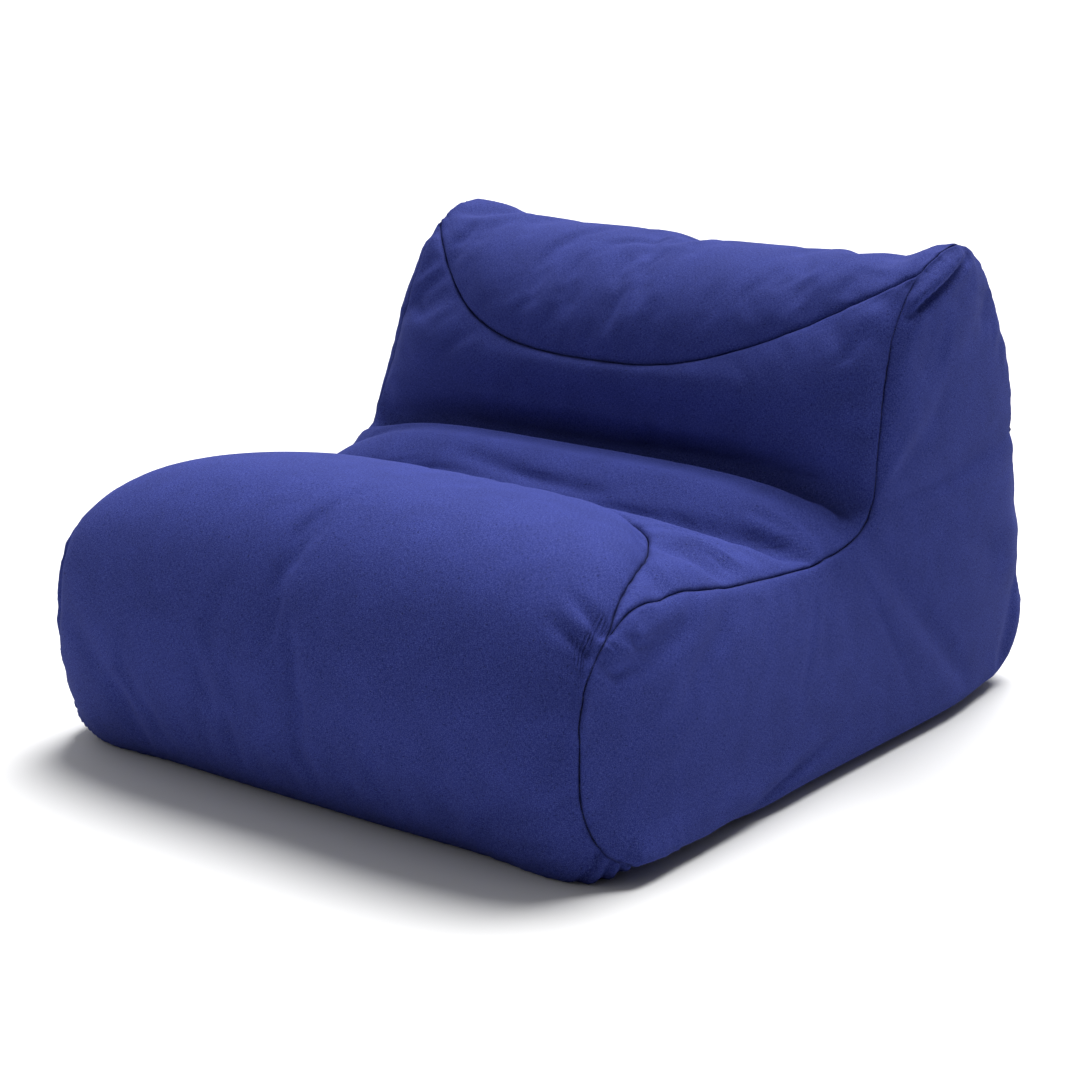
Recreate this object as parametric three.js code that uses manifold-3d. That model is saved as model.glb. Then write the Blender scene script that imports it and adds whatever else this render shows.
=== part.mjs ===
// Low bean bag lounge chair: a sewn cloth cover over two bead-filled inner bags.
//
// The cover is seven shaped cloth panels and a dark base cloth. A band of five panels runs from the
// front floor line over the seat, up the back rest, over its top and down the rear, between two
// L-shaped side panels. A zip runs across the rear. Inside, a seat bag and a back bag, each with its
// own zip, hold the bead filling and meet at an upright plane under the crease.
//
// Millimetres, +Z up, front facing -Y, +X to the right of someone facing the front.

import * as THREE from 'three';
import Module from 'manifold-3d';
import { mergeVertices } from 'three/addons/utils/BufferGeometryUtils.js';

const wasm = await Module();
wasm.setup();

// ---------------------------------------------------------------- driving dimensions

// Side outline, where the side panels are sewn on. y counts back from the front of the outline.
const SEAM_WIDTH = 796;          // between the two side seams at seat height
const DEPTH = 982;               // front of the outline to the rear bulge
const HEIGHT = 604;              // floor to the raised ends of the top edge
const SEAT_HEIGHT = 306;         // floor to the seam at the front of the seat
const SEAT_DEPTH = 590;          // front of the outline to the foot of the back rest
const CREASE_HEIGHT = 267;       // floor to the lowest part of the seat, before the back rest
const CREASE_REACH = 95;         // depth of the hollow curve into the back rest
const CREASE_RISE = 58;          // height of that curve
const FRONT_ROUND = 130;         // radius of both front corners
const CREST_PLACE = 0.52;        // share of the back rest's thickness before its highest point
const REAR_FOOT = 92;            // floor contact ends this far before the rear bulge
const REAR_BULGE_HEIGHT = 75;    // height of the rearmost point
const BACK_FOOT_EASE = 8;        // the back rest's foot leaves the crease this much towards the rear
const REAR_SHOULDER_INSET = 30;  // the rear shoulder is this far before the zip
const REAR_SHOULDER_EASE = 7;    // and falls away by this much to the rear
const REAR_SHOULDER_SHARE = 0.41; // its height, as a share of the rise from the zip to the top

// How the panels swell between their seams, measured out from the side outline at mid width.
const FRONT_CROWN = 38;
const SEAT_FRONT_CROWN = 58;
const SEAT_CROWN = 48;
const CREASE_CROWN = 22;
const BACK_REST_CROWN = 30;
const TOP_SAG = 28;              // the top edge sags between its raised ends
const REAR_CROWN = 24;
const REAR_LOWER_CROWN = 12;
const SIDE_CROWN = 25;           // side panels swell past the seams
const TOP_LEAN = 21;             // each side seam leans in by this much at the top
const BOTTOM_TUCK = 13;          // and tucks under by this much at the floor
const BOTTOM_TUCK_HEIGHT = 60;
const LEAN_START = 0.8;          // the lean starts at this share of the seat height
const SIDE_ROUNDING = 6;         // power of a side panel's fall towards its border
const SIDE_MIDDLE_SETBACK = 60;  // middle of a side panel, behind the foot of the back rest
const SIDE_MIDDLE_SHARE = 0.36;  // and its height, as a share of the crease's

// Curved seams across the band.
const SEAT_SEAM_SIDE = 48;       // front-to-seat seam: distance from the front, at the side seams
const SEAT_SEAM_MIDDLE = 345;    // and at mid width
const SMILE_SIDE_DROP = 19;      // head panel seam: below the top, at the side seams
const SMILE_MIDDLE_HEIGHT = 430; // and its height at mid width
const HEAD_REAR_HEIGHT = 345;    // head panel ends at this height on the rear

// Cloth and inner bags.
const COVER_CLOTH = 1.5;
const LINER_EASE = 9;            // cover to inner bag
const LINER_CLOTH = 0.8;
const FILL_GAP = 1.5;            // inner bag to filling
const PANEL_GAP = 0.4;           // between two panels at a seam
const TOUCH_GAP = 0.3;           // between two pieces that rest on each other
const BAG_SPACING = 16;          // between the seat bag and the back bag
const BAG_PLANE_INSET = 30;      // the plane between them is this far before the back rest's foot

// Rear zip of the cover.
const ZIP_HEIGHT = 185;
const ZIP_FLAT = 44;             // height of the flat stretch that carries the zip
const ZIP_INSET = 27;            // the zip sits this far before the rear bulge
const ZIP_OPENING = 18;          // between the cloth edges
const ZIP_END_MARGIN = 8;        // tape ends to the side seams
const TAPE_WIDTH = 16;
const TAPE_CLOTH = 1.0;
const COIL_WIDTH = 3;            // each half of the coil
const COIL_THICKNESS = 2.2;
const STOP_LENGTH = 4;
const SLIDER_LENGTH = 14;
const SLIDER_WALL = 1.4;
const SLIDER_CLEARANCE = 0.4;
const BRIDGE_RADIUS = 0.9;
const BRIDGE_RISE = 3.2;         // bridge bar axis above the slider's top
const POST_WIDTH = 2.4;
const POST_WALL = 1.2;
const POST_OVERLAP = 0.5;        // bar into the posts, and posts into the slider
const PULL_LENGTH = 32;
const PULL_WIDTH = 4.6;
const PULL_THICKNESS = 1.6;
const PULL_CLEARANCE = 0.5;      // pull's eye around the bridge bar
const EYE_WALL = 1;

// Zips of the inner bags. They have no pull, so that a child can't open them.
const BAG_ZIP_LENGTH = 340;
const SEAT_BAG_ZIP_HEIGHT = 90;
const BACK_BAG_ZIP_HEIGHT = 170;
const BAG_ZIP_OPENING = 8;
const BAG_SLOT_REACH = 2;        // the slot is cut this far to each side of the bag's wall

// Mesh density.
const BAND_COLUMNS = 16;
const BAND_STEP = 42;            // length of a row along the outline
const SIDE_RINGS = 4;
const BASE_ROWS = 6;
const INNER_COLUMNS = 8;
const INNER_RINGS = 3;
const INNER_ROWS = 60;

// ---------------------------------------------------------------- side outline

// The plain shares below place the control points of its curves.
const outline = new THREE.Path();
const creaseY = SEAT_DEPTH - CREASE_REACH;
const backFootZ = CREASE_HEIGHT + CREASE_RISE;
const zipY = DEPTH - ZIP_INSET;
const zipTopZ = ZIP_HEIGHT + ZIP_FLAT / 2;
const zipBottomZ = ZIP_HEIGHT - ZIP_FLAT / 2;
const rearShoulderY = zipY - REAR_SHOULDER_INSET;
const crestY = THREE.MathUtils.lerp(SEAT_DEPTH, rearShoulderY, CREST_PLACE);
const rearShoulderZ = zipTopZ + REAR_SHOULDER_SHARE * (HEIGHT - zipTopZ);
const seatRun = creaseY - FRONT_ROUND;
const backRise = HEIGHT - backFootZ;

outline.moveTo(FRONT_ROUND, 0);
outline.absellipse(
  FRONT_ROUND, FRONT_ROUND, FRONT_ROUND, FRONT_ROUND, -Math.PI / 2, -Math.PI, true);
outline.lineTo(0, SEAT_HEIGHT - FRONT_ROUND);
outline.absellipse(
  FRONT_ROUND, SEAT_HEIGHT - FRONT_ROUND, FRONT_ROUND, FRONT_ROUND, Math.PI, Math.PI / 2, true);
outline.bezierCurveTo(
  FRONT_ROUND + 0.3 * seatRun, SEAT_HEIGHT,
  creaseY - 0.5 * seatRun, CREASE_HEIGHT,
  creaseY, CREASE_HEIGHT);
outline.absellipse(creaseY, backFootZ, CREASE_REACH, CREASE_RISE, -Math.PI / 2, 0, false);
outline.bezierCurveTo(
  SEAT_DEPTH + BACK_FOOT_EASE, backFootZ + 0.52 * backRise,
  SEAT_DEPTH + 0.3 * (crestY - SEAT_DEPTH), HEIGHT,
  crestY, HEIGHT);
outline.bezierCurveTo(
  crestY + 0.6 * (rearShoulderY - crestY), HEIGHT,
  rearShoulderY - 0.06 * (rearShoulderY - crestY), rearShoulderZ + 0.48 * (HEIGHT - rearShoulderZ),
  rearShoulderY, rearShoulderZ);
outline.bezierCurveTo(
  rearShoulderY + REAR_SHOULDER_EASE, rearShoulderZ - 0.42 * (rearShoulderZ - zipTopZ),
  zipY, zipTopZ + 0.33 * (rearShoulderZ - zipTopZ),
  zipY, zipTopZ);
outline.lineTo(zipY, zipBottomZ);
outline.bezierCurveTo(
  zipY, zipBottomZ - 0.38 * (zipBottomZ - REAR_BULGE_HEIGHT),
  DEPTH, REAR_BULGE_HEIGHT + 0.38 * (zipBottomZ - REAR_BULGE_HEIGHT),
  DEPTH, REAR_BULGE_HEIGHT);
outline.bezierCurveTo(
  DEPTH, 0.4 * REAR_BULGE_HEIGHT,
  DEPTH - 0.46 * REAR_FOOT, 0,
  DEPTH - REAR_FOOT, 0);

const outlineLength = outline.getLength();

// Point of the outline at a station, a distance along it from the front floor line.
function outlinePoint(station) {
  const point = outline.getPoint(THREE.MathUtils.clamp(station / outlineLength, 0, 1));
  return { y: point.x, z: point.y };
}

function outlineNormal(station) {
  const before = outlinePoint(Math.max(station - 0.5, 0));
  const after = outlinePoint(Math.min(station + 0.5, outlineLength));
  const length = Math.hypot(after.y - before.y, after.z - before.z);
  return { y: -(after.z - before.z) / length, z: (after.y - before.y) / length };
}

// First station after a start where a test on the point holds.
function stationWhere(start, reached) {
  let station = start;
  while (station < outlineLength && !reached(outlinePoint(station))) {
    station += 0.5;
  }
  return station;
}

const frontTopStation = stationWhere(0, (p) => p.y > FRONT_ROUND / 2 && p.z > SEAT_HEIGHT / 2);
const seatStation = stationWhere(frontTopStation, (p) => p.y > creaseY - seatRun / 2);
const creaseStation = stationWhere(seatStation, (p) => p.y > creaseY + CREASE_REACH / 2);
const backRestStation = stationWhere(creaseStation, (p) => p.z > backFootZ + 0.3 * backRise);
const topStation = stationWhere(backRestStation, (p) => p.y > crestY);
const zipTopStation = stationWhere(topStation, (p) => p.z < ZIP_HEIGHT + ZIP_OPENING / 2);
const zipBottomStation = stationWhere(topStation, (p) => p.z < ZIP_HEIGHT - ZIP_OPENING / 2);
const rearShoulderStation = stationWhere(topStation, (p) => p.z < rearShoulderZ);
const flatTopStation = stationWhere(topStation, (p) => p.z < zipTopZ);
const flatBottomStation = stationWhere(topStation, (p) => p.z < zipBottomZ);
const rearBulgeStation = stationWhere(topStation, (p) => p.z < REAR_BULGE_HEIGHT);

const seatSeamSide = stationWhere(0, (p) => p.y > SEAT_SEAM_SIDE && p.z > SEAT_HEIGHT / 2);
const seatSeamMiddle = stationWhere(seatSeamSide, (p) => p.y > SEAT_SEAM_MIDDLE);
const smileMiddle = stationWhere(creaseStation, (p) => p.z > SMILE_MIDDLE_HEIGHT);
const smileSide = stationWhere(smileMiddle, (p) => p.z > HEIGHT - SMILE_SIDE_DROP);
const headRear = stationWhere(topStation, (p) => p.z < HEAD_REAR_HEIGHT);

// ---------------------------------------------------------------- skin of the whole body

const crowns = [
  [0, 0],
  [FRONT_ROUND * 1.8, FRONT_CROWN],
  [frontTopStation, SEAT_FRONT_CROWN],
  [seatStation, SEAT_CROWN],
  [creaseStation, CREASE_CROWN],
  [backRestStation, BACK_REST_CROWN],
  [topStation, -TOP_SAG],
  [rearShoulderStation, REAR_CROWN],
  [flatTopStation, 0],
  [flatBottomStation, 0],
  [rearBulgeStation, REAR_LOWER_CROWN],
  [outlineLength, 0],
];

function crownAt(station) {
  for (let i = 1; i < crowns.length; i += 1) {
    const [start, low] = crowns[i - 1];
    const [end, high] = crowns[i];
    if (station <= end) {
      return THREE.MathUtils.lerp(low, high, THREE.MathUtils.smoothstep(station, start, end));
    }
  }
  return 0;
}

function seamHalfWidth(z) {
  const lean = TOP_LEAN * THREE.MathUtils.smoothstep(z, LEAN_START * SEAT_HEIGHT, HEIGHT);
  const tuck = BOTTOM_TUCK * (1 - Math.min(z / BOTTOM_TUCK_HEIGHT, 1)) ** 2;
  return SEAM_WIDTH / 2 - lean - tuck;
}

// Place of a column across the band, from -1 to 1. Columns crowd towards the side seams.
function acrossAt(column, columns) {
  const even = (2 * column) / columns - 1;
  return Math.sign(even) * (1 - (1 - Math.abs(even)) ** 3);
}

// Point of the band: across runs from -1 to 1 between the side seams, depth counts into the body.
function bandPoint(station, across, depth) {
  const point = outlinePoint(station);
  const normal = outlineNormal(station);
  const lift = crownAt(station) * (1 - Math.abs(across) ** 3) - depth;
  const x = (seamHalfWidth(point.z) - depth) * across;
  return new THREE.Vector3(x, point.y + normal.y * lift, point.z + normal.z * lift);
}

// Point of the flat underside: row 0 is the band's rear end, the last row is its front end.
function floorPoint(row, across, depth) {
  if (row === 0) return bandPoint(outlineLength, across, depth);
  if (row === BASE_ROWS) return bandPoint(0, across, depth);
  const rear = bandPoint(outlineLength, across, depth);
  return rear.lerp(bandPoint(0, across, depth), row / BASE_ROWS);
}

// Border of a side panel: up the front, over the top and down the rear, then back along the floor.
function sideBorder(stations, side, depth, inset) {
  const band = stations.map((station) => {
    const point = bandPoint(station, side, depth);
    const normal = outlineNormal(station);
    return point.add(new THREE.Vector3(0, -normal.y * inset, -normal.z * inset));
  });
  const floor = [];
  for (let row = 1; row < BASE_ROWS; row += 1) {
    floor.push(floorPoint(row, side, depth).add(new THREE.Vector3(0, 0, inset)));
  }
  return [...band, ...floor];
}

const sideCentre = { y: SEAT_DEPTH + SIDE_MIDDLE_SETBACK, z: SIDE_MIDDLE_SHARE * CREASE_HEIGHT };

// Rings of a side panel, from its middle out to its border.
function sideRings(stations, side, depth, inset, rings) {
  const border = sideBorder(stations, side, depth, inset);
  const farthest = SEAM_WIDTH / 2 + SIDE_CROWN - depth;
  const points = [new THREE.Vector3(side * farthest, sideCentre.y, sideCentre.z)];
  for (let ring = 1; ring <= rings; ring += 1) {
    const reach = ring / rings;
    for (const edge of border) {
      if (ring === rings) {
        points.push(edge);
        continue;
      }
      const x = farthest - (farthest - Math.abs(edge.x)) * reach ** SIDE_ROUNDING;
      const y = THREE.MathUtils.lerp(sideCentre.y, edge.y, reach);
      const z = THREE.MathUtils.lerp(sideCentre.z, edge.z, reach);
      points.push(new THREE.Vector3(side * x, y, z));
    }
  }
  return points;
}

// ---------------------------------------------------------------- mesh building

// Triangles of a grid of points, rows by columns, and the loop of points round its edge.
function gridLayout(rows, columns) {
  const at = (row, column) => row * (columns + 1) + column;
  const triangles = [];
  for (let row = 0; row < rows; row += 1) {
    for (let column = 0; column < columns; column += 1) {
      const [a, b] = [at(row, column), at(row, column + 1)];
      const [c, d] = [at(row + 1, column + 1), at(row + 1, column)];
      triangles.push([a, b, c], [a, c, d]);
    }
  }
  const loop = [];
  for (let column = 0; column < columns; column += 1) loop.push(at(0, column));
  for (let row = 0; row < rows; row += 1) loop.push(at(row, columns));
  for (let column = columns; column > 0; column -= 1) loop.push(at(rows, column));
  for (let row = rows; row > 0; row -= 1) loop.push(at(row, 0));
  return { triangles, loop };
}

// Triangles of rings of points round one middle point, and the loop of the last ring.
function discLayout(rings, count) {
  const at = (ring, index) => 1 + (ring - 1) * count + (index % count);
  const triangles = [];
  for (let index = 0; index < count; index += 1) {
    triangles.push([0, at(1, index), at(1, index + 1)]);
    for (let ring = 1; ring < rings; ring += 1) {
      const [a, b] = [at(ring, index), at(ring + 1, index)];
      const [c, d] = [at(ring + 1, index + 1), at(ring, index + 1)];
      triangles.push([a, b, c], [a, c, d]);
    }
  }
  const loop = [];
  for (let index = 0; index < count; index += 1) loop.push(at(rings, index));
  return { triangles, loop };
}

function flipped(triangles) {
  return triangles.map(([a, b, c]) => [a, c, b]);
}

function geometryFrom(points, triangles) {
  const geometry = new THREE.BufferGeometry();
  const numbers = points.flatMap((p) => [p.x, p.y, p.z]);
  geometry.setAttribute('position', new THREE.Float32BufferAttribute(numbers, 3));
  geometry.setIndex(triangles.flat());
  geometry.computeVertexNormals();
  return geometry;
}

// Closed sheet of cloth between an outer and an inner set of points that share one layout.
function clothGeometry(outer, inner, layout) {
  const count = outer.length;
  const { triangles, loop } = layout;
  const faces = [...triangles];
  for (const triangle of flipped(triangles)) faces.push(triangle.map((index) => index + count));
  loop.forEach((a, i) => {
    const b = loop[(i + 1) % loop.length];
    faces.push([b, a, a + count], [b, a + count, b + count]);
  });
  return geometryFrom([...outer, ...inner], faces);
}

function toSolid(geometry) {
  const bare = geometry.clone();
  bare.deleteAttribute('normal');
  if (bare.hasAttribute('uv')) bare.deleteAttribute('uv');
  const merged = mergeVertices(bare, 1e-3);
  const vertProperties = new Float32Array(merged.attributes.position.array);
  const triVerts = new Uint32Array(merged.index.array);
  return new wasm.Manifold(new wasm.Mesh({ numProp: 3, vertProperties, triVerts }));
}

function fromSolid(solid) {
  const mesh = solid.getMesh();
  const geometry = new THREE.BufferGeometry();
  geometry.setAttribute('position', new THREE.Float32BufferAttribute(mesh.vertProperties, 3));
  geometry.setIndex([...mesh.triVerts]);
  geometry.computeVertexNormals();
  return geometry;
}

function box(low, high) {
  const geometry = new THREE.BoxGeometry(high[0] - low[0], high[1] - low[1], high[2] - low[2]);
  return geometry.translate((low[0] + high[0]) / 2, (low[1] + high[1]) / 2, (low[2] + high[2]) / 2);
}

// ---------------------------------------------------------------- finishes

function finish(color, roughness, metalness = 0) {
  return new THREE.MeshStandardMaterial({ color, roughness, metalness });
}

const chair = new THREE.Group();

function addPart(name, geometry, material, parent = chair) {
  const mesh = new THREE.Mesh(geometry, material);
  mesh.name = name;
  parent.add(mesh);
  return mesh;
}

const coverCloth = () => finish(0x3a4390, 0.95);
const darkCloth = () => finish(0x24252b, 0.95);
const zipCloth = () => finish(0x2a3168, 0.9);
const zipCoil = () => finish(0x20264f, 0.5);
const bagCloth = () => finish(0xe4e4e0, 0.9);
const bagZip = () => finish(0xd8d8d4, 0.7);
const zipMetal = () => finish(0x8d9096, 0.35, 1);
const beads = () => finish(0xf4f4f2, 0.85);

// ---------------------------------------------------------------- cover panels of the band

// Each panel runs between two seam lines. A seam line gives the station for a place across the band.
const floorFrontLine = () => 0;
const floorRearLine = () => outlineLength;
const seatSeamLine = (across) =>
  THREE.MathUtils.lerp(seatSeamMiddle, seatSeamSide, Math.abs(across) ** 5);
const smileLine = (across) => THREE.MathUtils.lerp(smileMiddle, smileSide, Math.abs(across) ** 2.2);
const headRearLine = () => headRear;
const zipTopLine = () => zipTopStation;
const zipBottomLine = () => zipBottomStation;

const bandPanels = [
  { name: 'front_panel', start: floorFrontLine, end: seatSeamLine },
  { name: 'seat_back_panel', start: seatSeamLine, end: smileLine },
  { name: 'head_panel', start: smileLine, end: headRearLine },
  { name: 'rear_panel', start: headRearLine, end: zipTopLine },
  { name: 'rear_lower_panel', start: zipBottomLine, end: floorRearLine },
];

// Half the gap between two panels, measured along the outline, where their seam line runs at a slant.
function seamGap(line, across) {
  const step = 0.01;
  const rise = line(Math.abs(across)) - line(Math.abs(across) - step);
  return (PANEL_GAP / 2) * Math.hypot(1, rise / ((step * SEAM_WIDTH) / 2));
}

const perimeterStations = [];

for (const { name, start, end } of bandPanels) {
  const rows = Math.ceil(Math.max(end(0) - start(0), end(1) - start(1)) / BAND_STEP);
  const outer = [];
  const inner = [];
  for (let row = 0; row <= rows; row += 1) {
    for (let column = 0; column <= BAND_COLUMNS; column += 1) {
      const across = acrossAt(column, BAND_COLUMNS);
      const first = start(across) + seamGap(start, across);
      const last = end(across) - seamGap(end, across);
      const station = THREE.MathUtils.lerp(first, last, row / rows);
      outer.push(bandPoint(station, across, 0));
      inner.push(bandPoint(station, across, COVER_CLOTH));
      if (across === 1) perimeterStations.push(station);
    }
  }
  addPart(name, clothGeometry(outer, inner, gridLayout(rows, BAND_COLUMNS)), coverCloth());
}

// ---------------------------------------------------------------- side panels

for (const [name, side] of [['left_side_panel', -1], ['right_side_panel', 1]]) {
  const outer = sideRings(perimeterStations, side, 0, PANEL_GAP, SIDE_RINGS);
  const inner = sideRings(perimeterStations, side, COVER_CLOTH, PANEL_GAP, SIDE_RINGS);
  const count = (outer.length - 1) / SIDE_RINGS;
  const layout = discLayout(SIDE_RINGS, count);
  if (side > 0) layout.triangles = flipped(layout.triangles);
  if (side > 0) layout.loop.reverse();
  addPart(name, clothGeometry(outer, inner, layout), coverCloth());
}

// ---------------------------------------------------------------- base cloth

const baseFront = FRONT_ROUND + 2 * PANEL_GAP;
const baseRear = DEPTH - REAR_FOOT - 2 * PANEL_GAP;
const baseHalfWidth = seamHalfWidth(0) - COVER_CLOTH - 2 * PANEL_GAP;
const baseCloth = box([-baseHalfWidth, baseFront, 0], [baseHalfWidth, baseRear, COVER_CLOTH]);
addPart('base_panel', baseCloth, darkCloth());

// ---------------------------------------------------------------- inner bags and filling

// Closed solid of the whole body at a depth under the cover's surface.
function bodySolid(depth) {
  const stations = [];
  for (let row = 0; row <= INNER_ROWS; row += 1) stations.push((outlineLength * row) / INNER_ROWS);
  const points = [];
  const faces = [];
  const append = (added, triangles) => {
    for (const triangle of triangles) faces.push(triangle.map((index) => index + points.length));
    points.push(...added);
  };
  const rows = [];
  for (const station of stations) {
    for (let column = 0; column <= INNER_COLUMNS; column += 1) {
      rows.push(bandPoint(station, acrossAt(column, INNER_COLUMNS), depth));
    }
  }
  append(rows, gridLayout(INNER_ROWS, INNER_COLUMNS).triangles);
  const floor = [];
  for (let row = 0; row <= BASE_ROWS; row += 1) {
    for (let column = 0; column <= INNER_COLUMNS; column += 1) {
      floor.push(floorPoint(row, acrossAt(column, INNER_COLUMNS), depth));
    }
  }
  append(floor, gridLayout(BASE_ROWS, INNER_COLUMNS).triangles);
  for (const side of [-1, 1]) {
    const rings = sideRings(stations, side, depth, 0, INNER_RINGS);
    const { triangles } = discLayout(INNER_RINGS, (rings.length - 1) / INNER_RINGS);
    append(rings, side > 0 ? flipped(triangles) : triangles);
  }
  return toSolid(geometryFrom(points, faces));
}

const bagPlaneY = SEAT_DEPTH - BAG_PLANE_INSET;
const farSide = 2 * (SEAM_WIDTH + DEPTH + HEIGHT);

// Part of a body solid in front of the seat bag's rear wall, or behind the back bag's front wall.
function seatHalf(depth, wallDepth) {
  const wallY = bagPlaneY - BAG_SPACING / 2 - wallDepth;
  const frontSpace = box([-farSide, -farSide, -farSide], [farSide, wallY, farSide]);
  return bodySolid(depth).intersect(toSolid(frontSpace));
}

function backHalf(depth, wallDepth) {
  const wallY = bagPlaneY + BAG_SPACING / 2 + wallDepth;
  const rearSpace = box([-farSide, wallY, -farSide], [farSide, farSide, farSide]);
  return bodySolid(depth).intersect(toSolid(rearSpace));
}

const bagDepth = COVER_CLOTH + LINER_EASE;
const fillDepth = bagDepth + LINER_CLOTH + FILL_GAP;
const bags = [
  { prefix: 'seat', half: seatHalf, facing: 1, zipHeight: SEAT_BAG_ZIP_HEIGHT },
  { prefix: 'back', half: backHalf, facing: -1, zipHeight: BACK_BAG_ZIP_HEIGHT },
];

// Channel that rides on a coil: a top plate and two flanges, run along X and centred on it.
function sliderChannel() {
  const halfInside = COIL_WIDTH + PANEL_GAP / 2 + SLIDER_CLEARANCE;
  const halfOutside = halfInside + SLIDER_WALL;
  const inside = COIL_THICKNESS + SLIDER_CLEARANCE;
  const shape = new THREE.Shape([
    new THREE.Vector2(-halfOutside, 0),
    new THREE.Vector2(-halfInside, 0),
    new THREE.Vector2(-halfInside, inside),
    new THREE.Vector2(halfInside, inside),
    new THREE.Vector2(halfInside, 0),
    new THREE.Vector2(halfOutside, 0),
    new THREE.Vector2(halfOutside, inside + SLIDER_WALL),
    new THREE.Vector2(-halfOutside, inside + SLIDER_WALL),
  ]);
  const channel = new THREE.ExtrudeGeometry(shape, { depth: SLIDER_LENGTH, bevelEnabled: false });
  channel.translate(0, 0, -SLIDER_LENGTH / 2);
  // Shape x becomes Z, shape y points out along +Y, and the run goes along X.
  channel.applyMatrix4(new THREE.Matrix4().makeBasis(
    new THREE.Vector3(0, 0, 1), new THREE.Vector3(0, 1, 0), new THREE.Vector3(-1, 0, 0)));
  return channel;
}

for (const { prefix, half, facing, zipHeight } of bags) {
  const wallY = bagPlaneY - (facing * BAG_SPACING) / 2;
  const slot = box(
    [-BAG_ZIP_LENGTH / 2, wallY - BAG_SLOT_REACH, zipHeight - BAG_ZIP_OPENING / 2],
    [BAG_ZIP_LENGTH / 2, wallY + BAG_SLOT_REACH, zipHeight + BAG_ZIP_OPENING / 2]);
  const hollow = half(bagDepth + LINER_CLOTH, LINER_CLOTH);
  const skin = half(bagDepth, 0).subtract(hollow).subtract(toSolid(slot));
  addPart(`${prefix}_bag`, fromSolid(skin), bagCloth());
  addPart(`${prefix}_fill`, fromSolid(half(fillDepth, LINER_CLOTH + FILL_GAP)), beads());

  // Tape, coil and slider stand off the bag's wall, in the space between the two bags.
  const zip = new THREE.Group();
  zip.position.set(0, wallY, zipHeight);
  zip.rotation.z = facing > 0 ? 0 : Math.PI;
  chair.add(zip);
  const tapeHalf = BAG_ZIP_LENGTH / 2 + TAPE_WIDTH / 2;
  const tape = box(
    [-tapeHalf, TOUCH_GAP, -TAPE_WIDTH],
    [tapeHalf, TOUCH_GAP + TAPE_CLOTH, TAPE_WIDTH]);
  addPart(`${prefix}_bag_zip_tape`, tape, bagZip(), zip);
  const coilY = 2 * TOUCH_GAP + TAPE_CLOTH;
  const coil = box(
    [-BAG_ZIP_LENGTH / 2, coilY, -COIL_WIDTH],
    [BAG_ZIP_LENGTH / 2, coilY + COIL_THICKNESS, COIL_WIDTH]);
  addPart(`${prefix}_bag_zip_coil`, coil, bagZip(), zip);
  const slider = addPart(`${prefix}_bag_zip_slider`, sliderChannel(), zipMetal(), zip);
  slider.position.set(BAG_ZIP_LENGTH / 2 - SLIDER_LENGTH / 2, coilY, 0);
}

// ---------------------------------------------------------------- rear zip of the cover

const rearZip = new THREE.Group();
rearZip.position.set(0, zipY, ZIP_HEIGHT);
chair.add(rearZip);

const tapeHalfLength = seamHalfWidth(ZIP_HEIGHT) - ZIP_END_MARGIN;
const tapeOuterY = -COVER_CLOTH - TOUCH_GAP;
const coilInnerY = tapeOuterY + TOUCH_GAP;
const coilOuterY = coilInnerY + COIL_THICKNESS;
const coilHalfLength = tapeHalfLength - ZIP_END_MARGIN;

for (const [half, up] of [['upper', 1], ['lower', -1]]) {
  const edges = (near, far) => (up > 0 ? [near, far] : [-far, -near]);
  const [tapeLow, tapeHigh] = edges(PANEL_GAP / 2, TAPE_WIDTH);
  const tape = box(
    [-tapeHalfLength, tapeOuterY - TAPE_CLOTH, tapeLow],
    [tapeHalfLength, tapeOuterY, tapeHigh]);
  addPart(`zip_tape_${half}`, tape, zipCloth(), rearZip);
  const [coilLow, coilHigh] = edges(PANEL_GAP / 2, COIL_WIDTH);
  const coil = box(
    [-coilHalfLength, coilInnerY, coilLow],
    [coilHalfLength, coilOuterY, coilHigh]);
  addPart(`zip_coil_${half}`, coil, zipCoil(), rearZip);
}

for (const [name, side] of [['zip_stop_left', -1], ['zip_stop_right', 1]]) {
  const block = box(
    [-STOP_LENGTH / 2, coilInnerY, -COIL_WIDTH - PANEL_GAP],
    [STOP_LENGTH / 2, coilOuterY, COIL_WIDTH + PANEL_GAP]);
  const stop = addPart(name, block, zipMetal(), rearZip);
  stop.position.x = side * (coilHalfLength + TOUCH_GAP + STOP_LENGTH / 2);
}

// The slider rests closed, at the right end, and carries the pull on an upright bridge bar.
const sliderHome = coilHalfLength - SLIDER_LENGTH / 2;
const sliderTopY = coilInnerY + COIL_THICKNESS + SLIDER_CLEARANCE + SLIDER_WALL;
const bridgeY = sliderTopY + BRIDGE_RISE;
const bridgeHalf = PULL_WIDTH / 2 + PULL_CLEARANCE;

const bridgeLength = 2 * (bridgeHalf + POST_OVERLAP);
const bridgeBar = new THREE.CylinderGeometry(BRIDGE_RADIUS, BRIDGE_RADIUS, bridgeLength, 12);
bridgeBar.rotateX(Math.PI / 2).translate(0, bridgeY, 0);
let sliderSolid = toSolid(sliderChannel().translate(0, coilInnerY, 0)).add(toSolid(bridgeBar));
for (const up of [-1, 1]) {
  const middleZ = up * (bridgeHalf + POST_WALL / 2);
  const post = box(
    [-POST_WIDTH / 2, sliderTopY - POST_OVERLAP, middleZ - POST_WALL / 2],
    [POST_WIDTH / 2, bridgeY + BRIDGE_RADIUS, middleZ + POST_WALL / 2]);
  sliderSolid = sliderSolid.add(toSolid(post));
}
const zipSlider = addPart('zip_slider', fromSolid(sliderSolid), zipMetal(), rearZip);
zipSlider.position.x = sliderHome;

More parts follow.
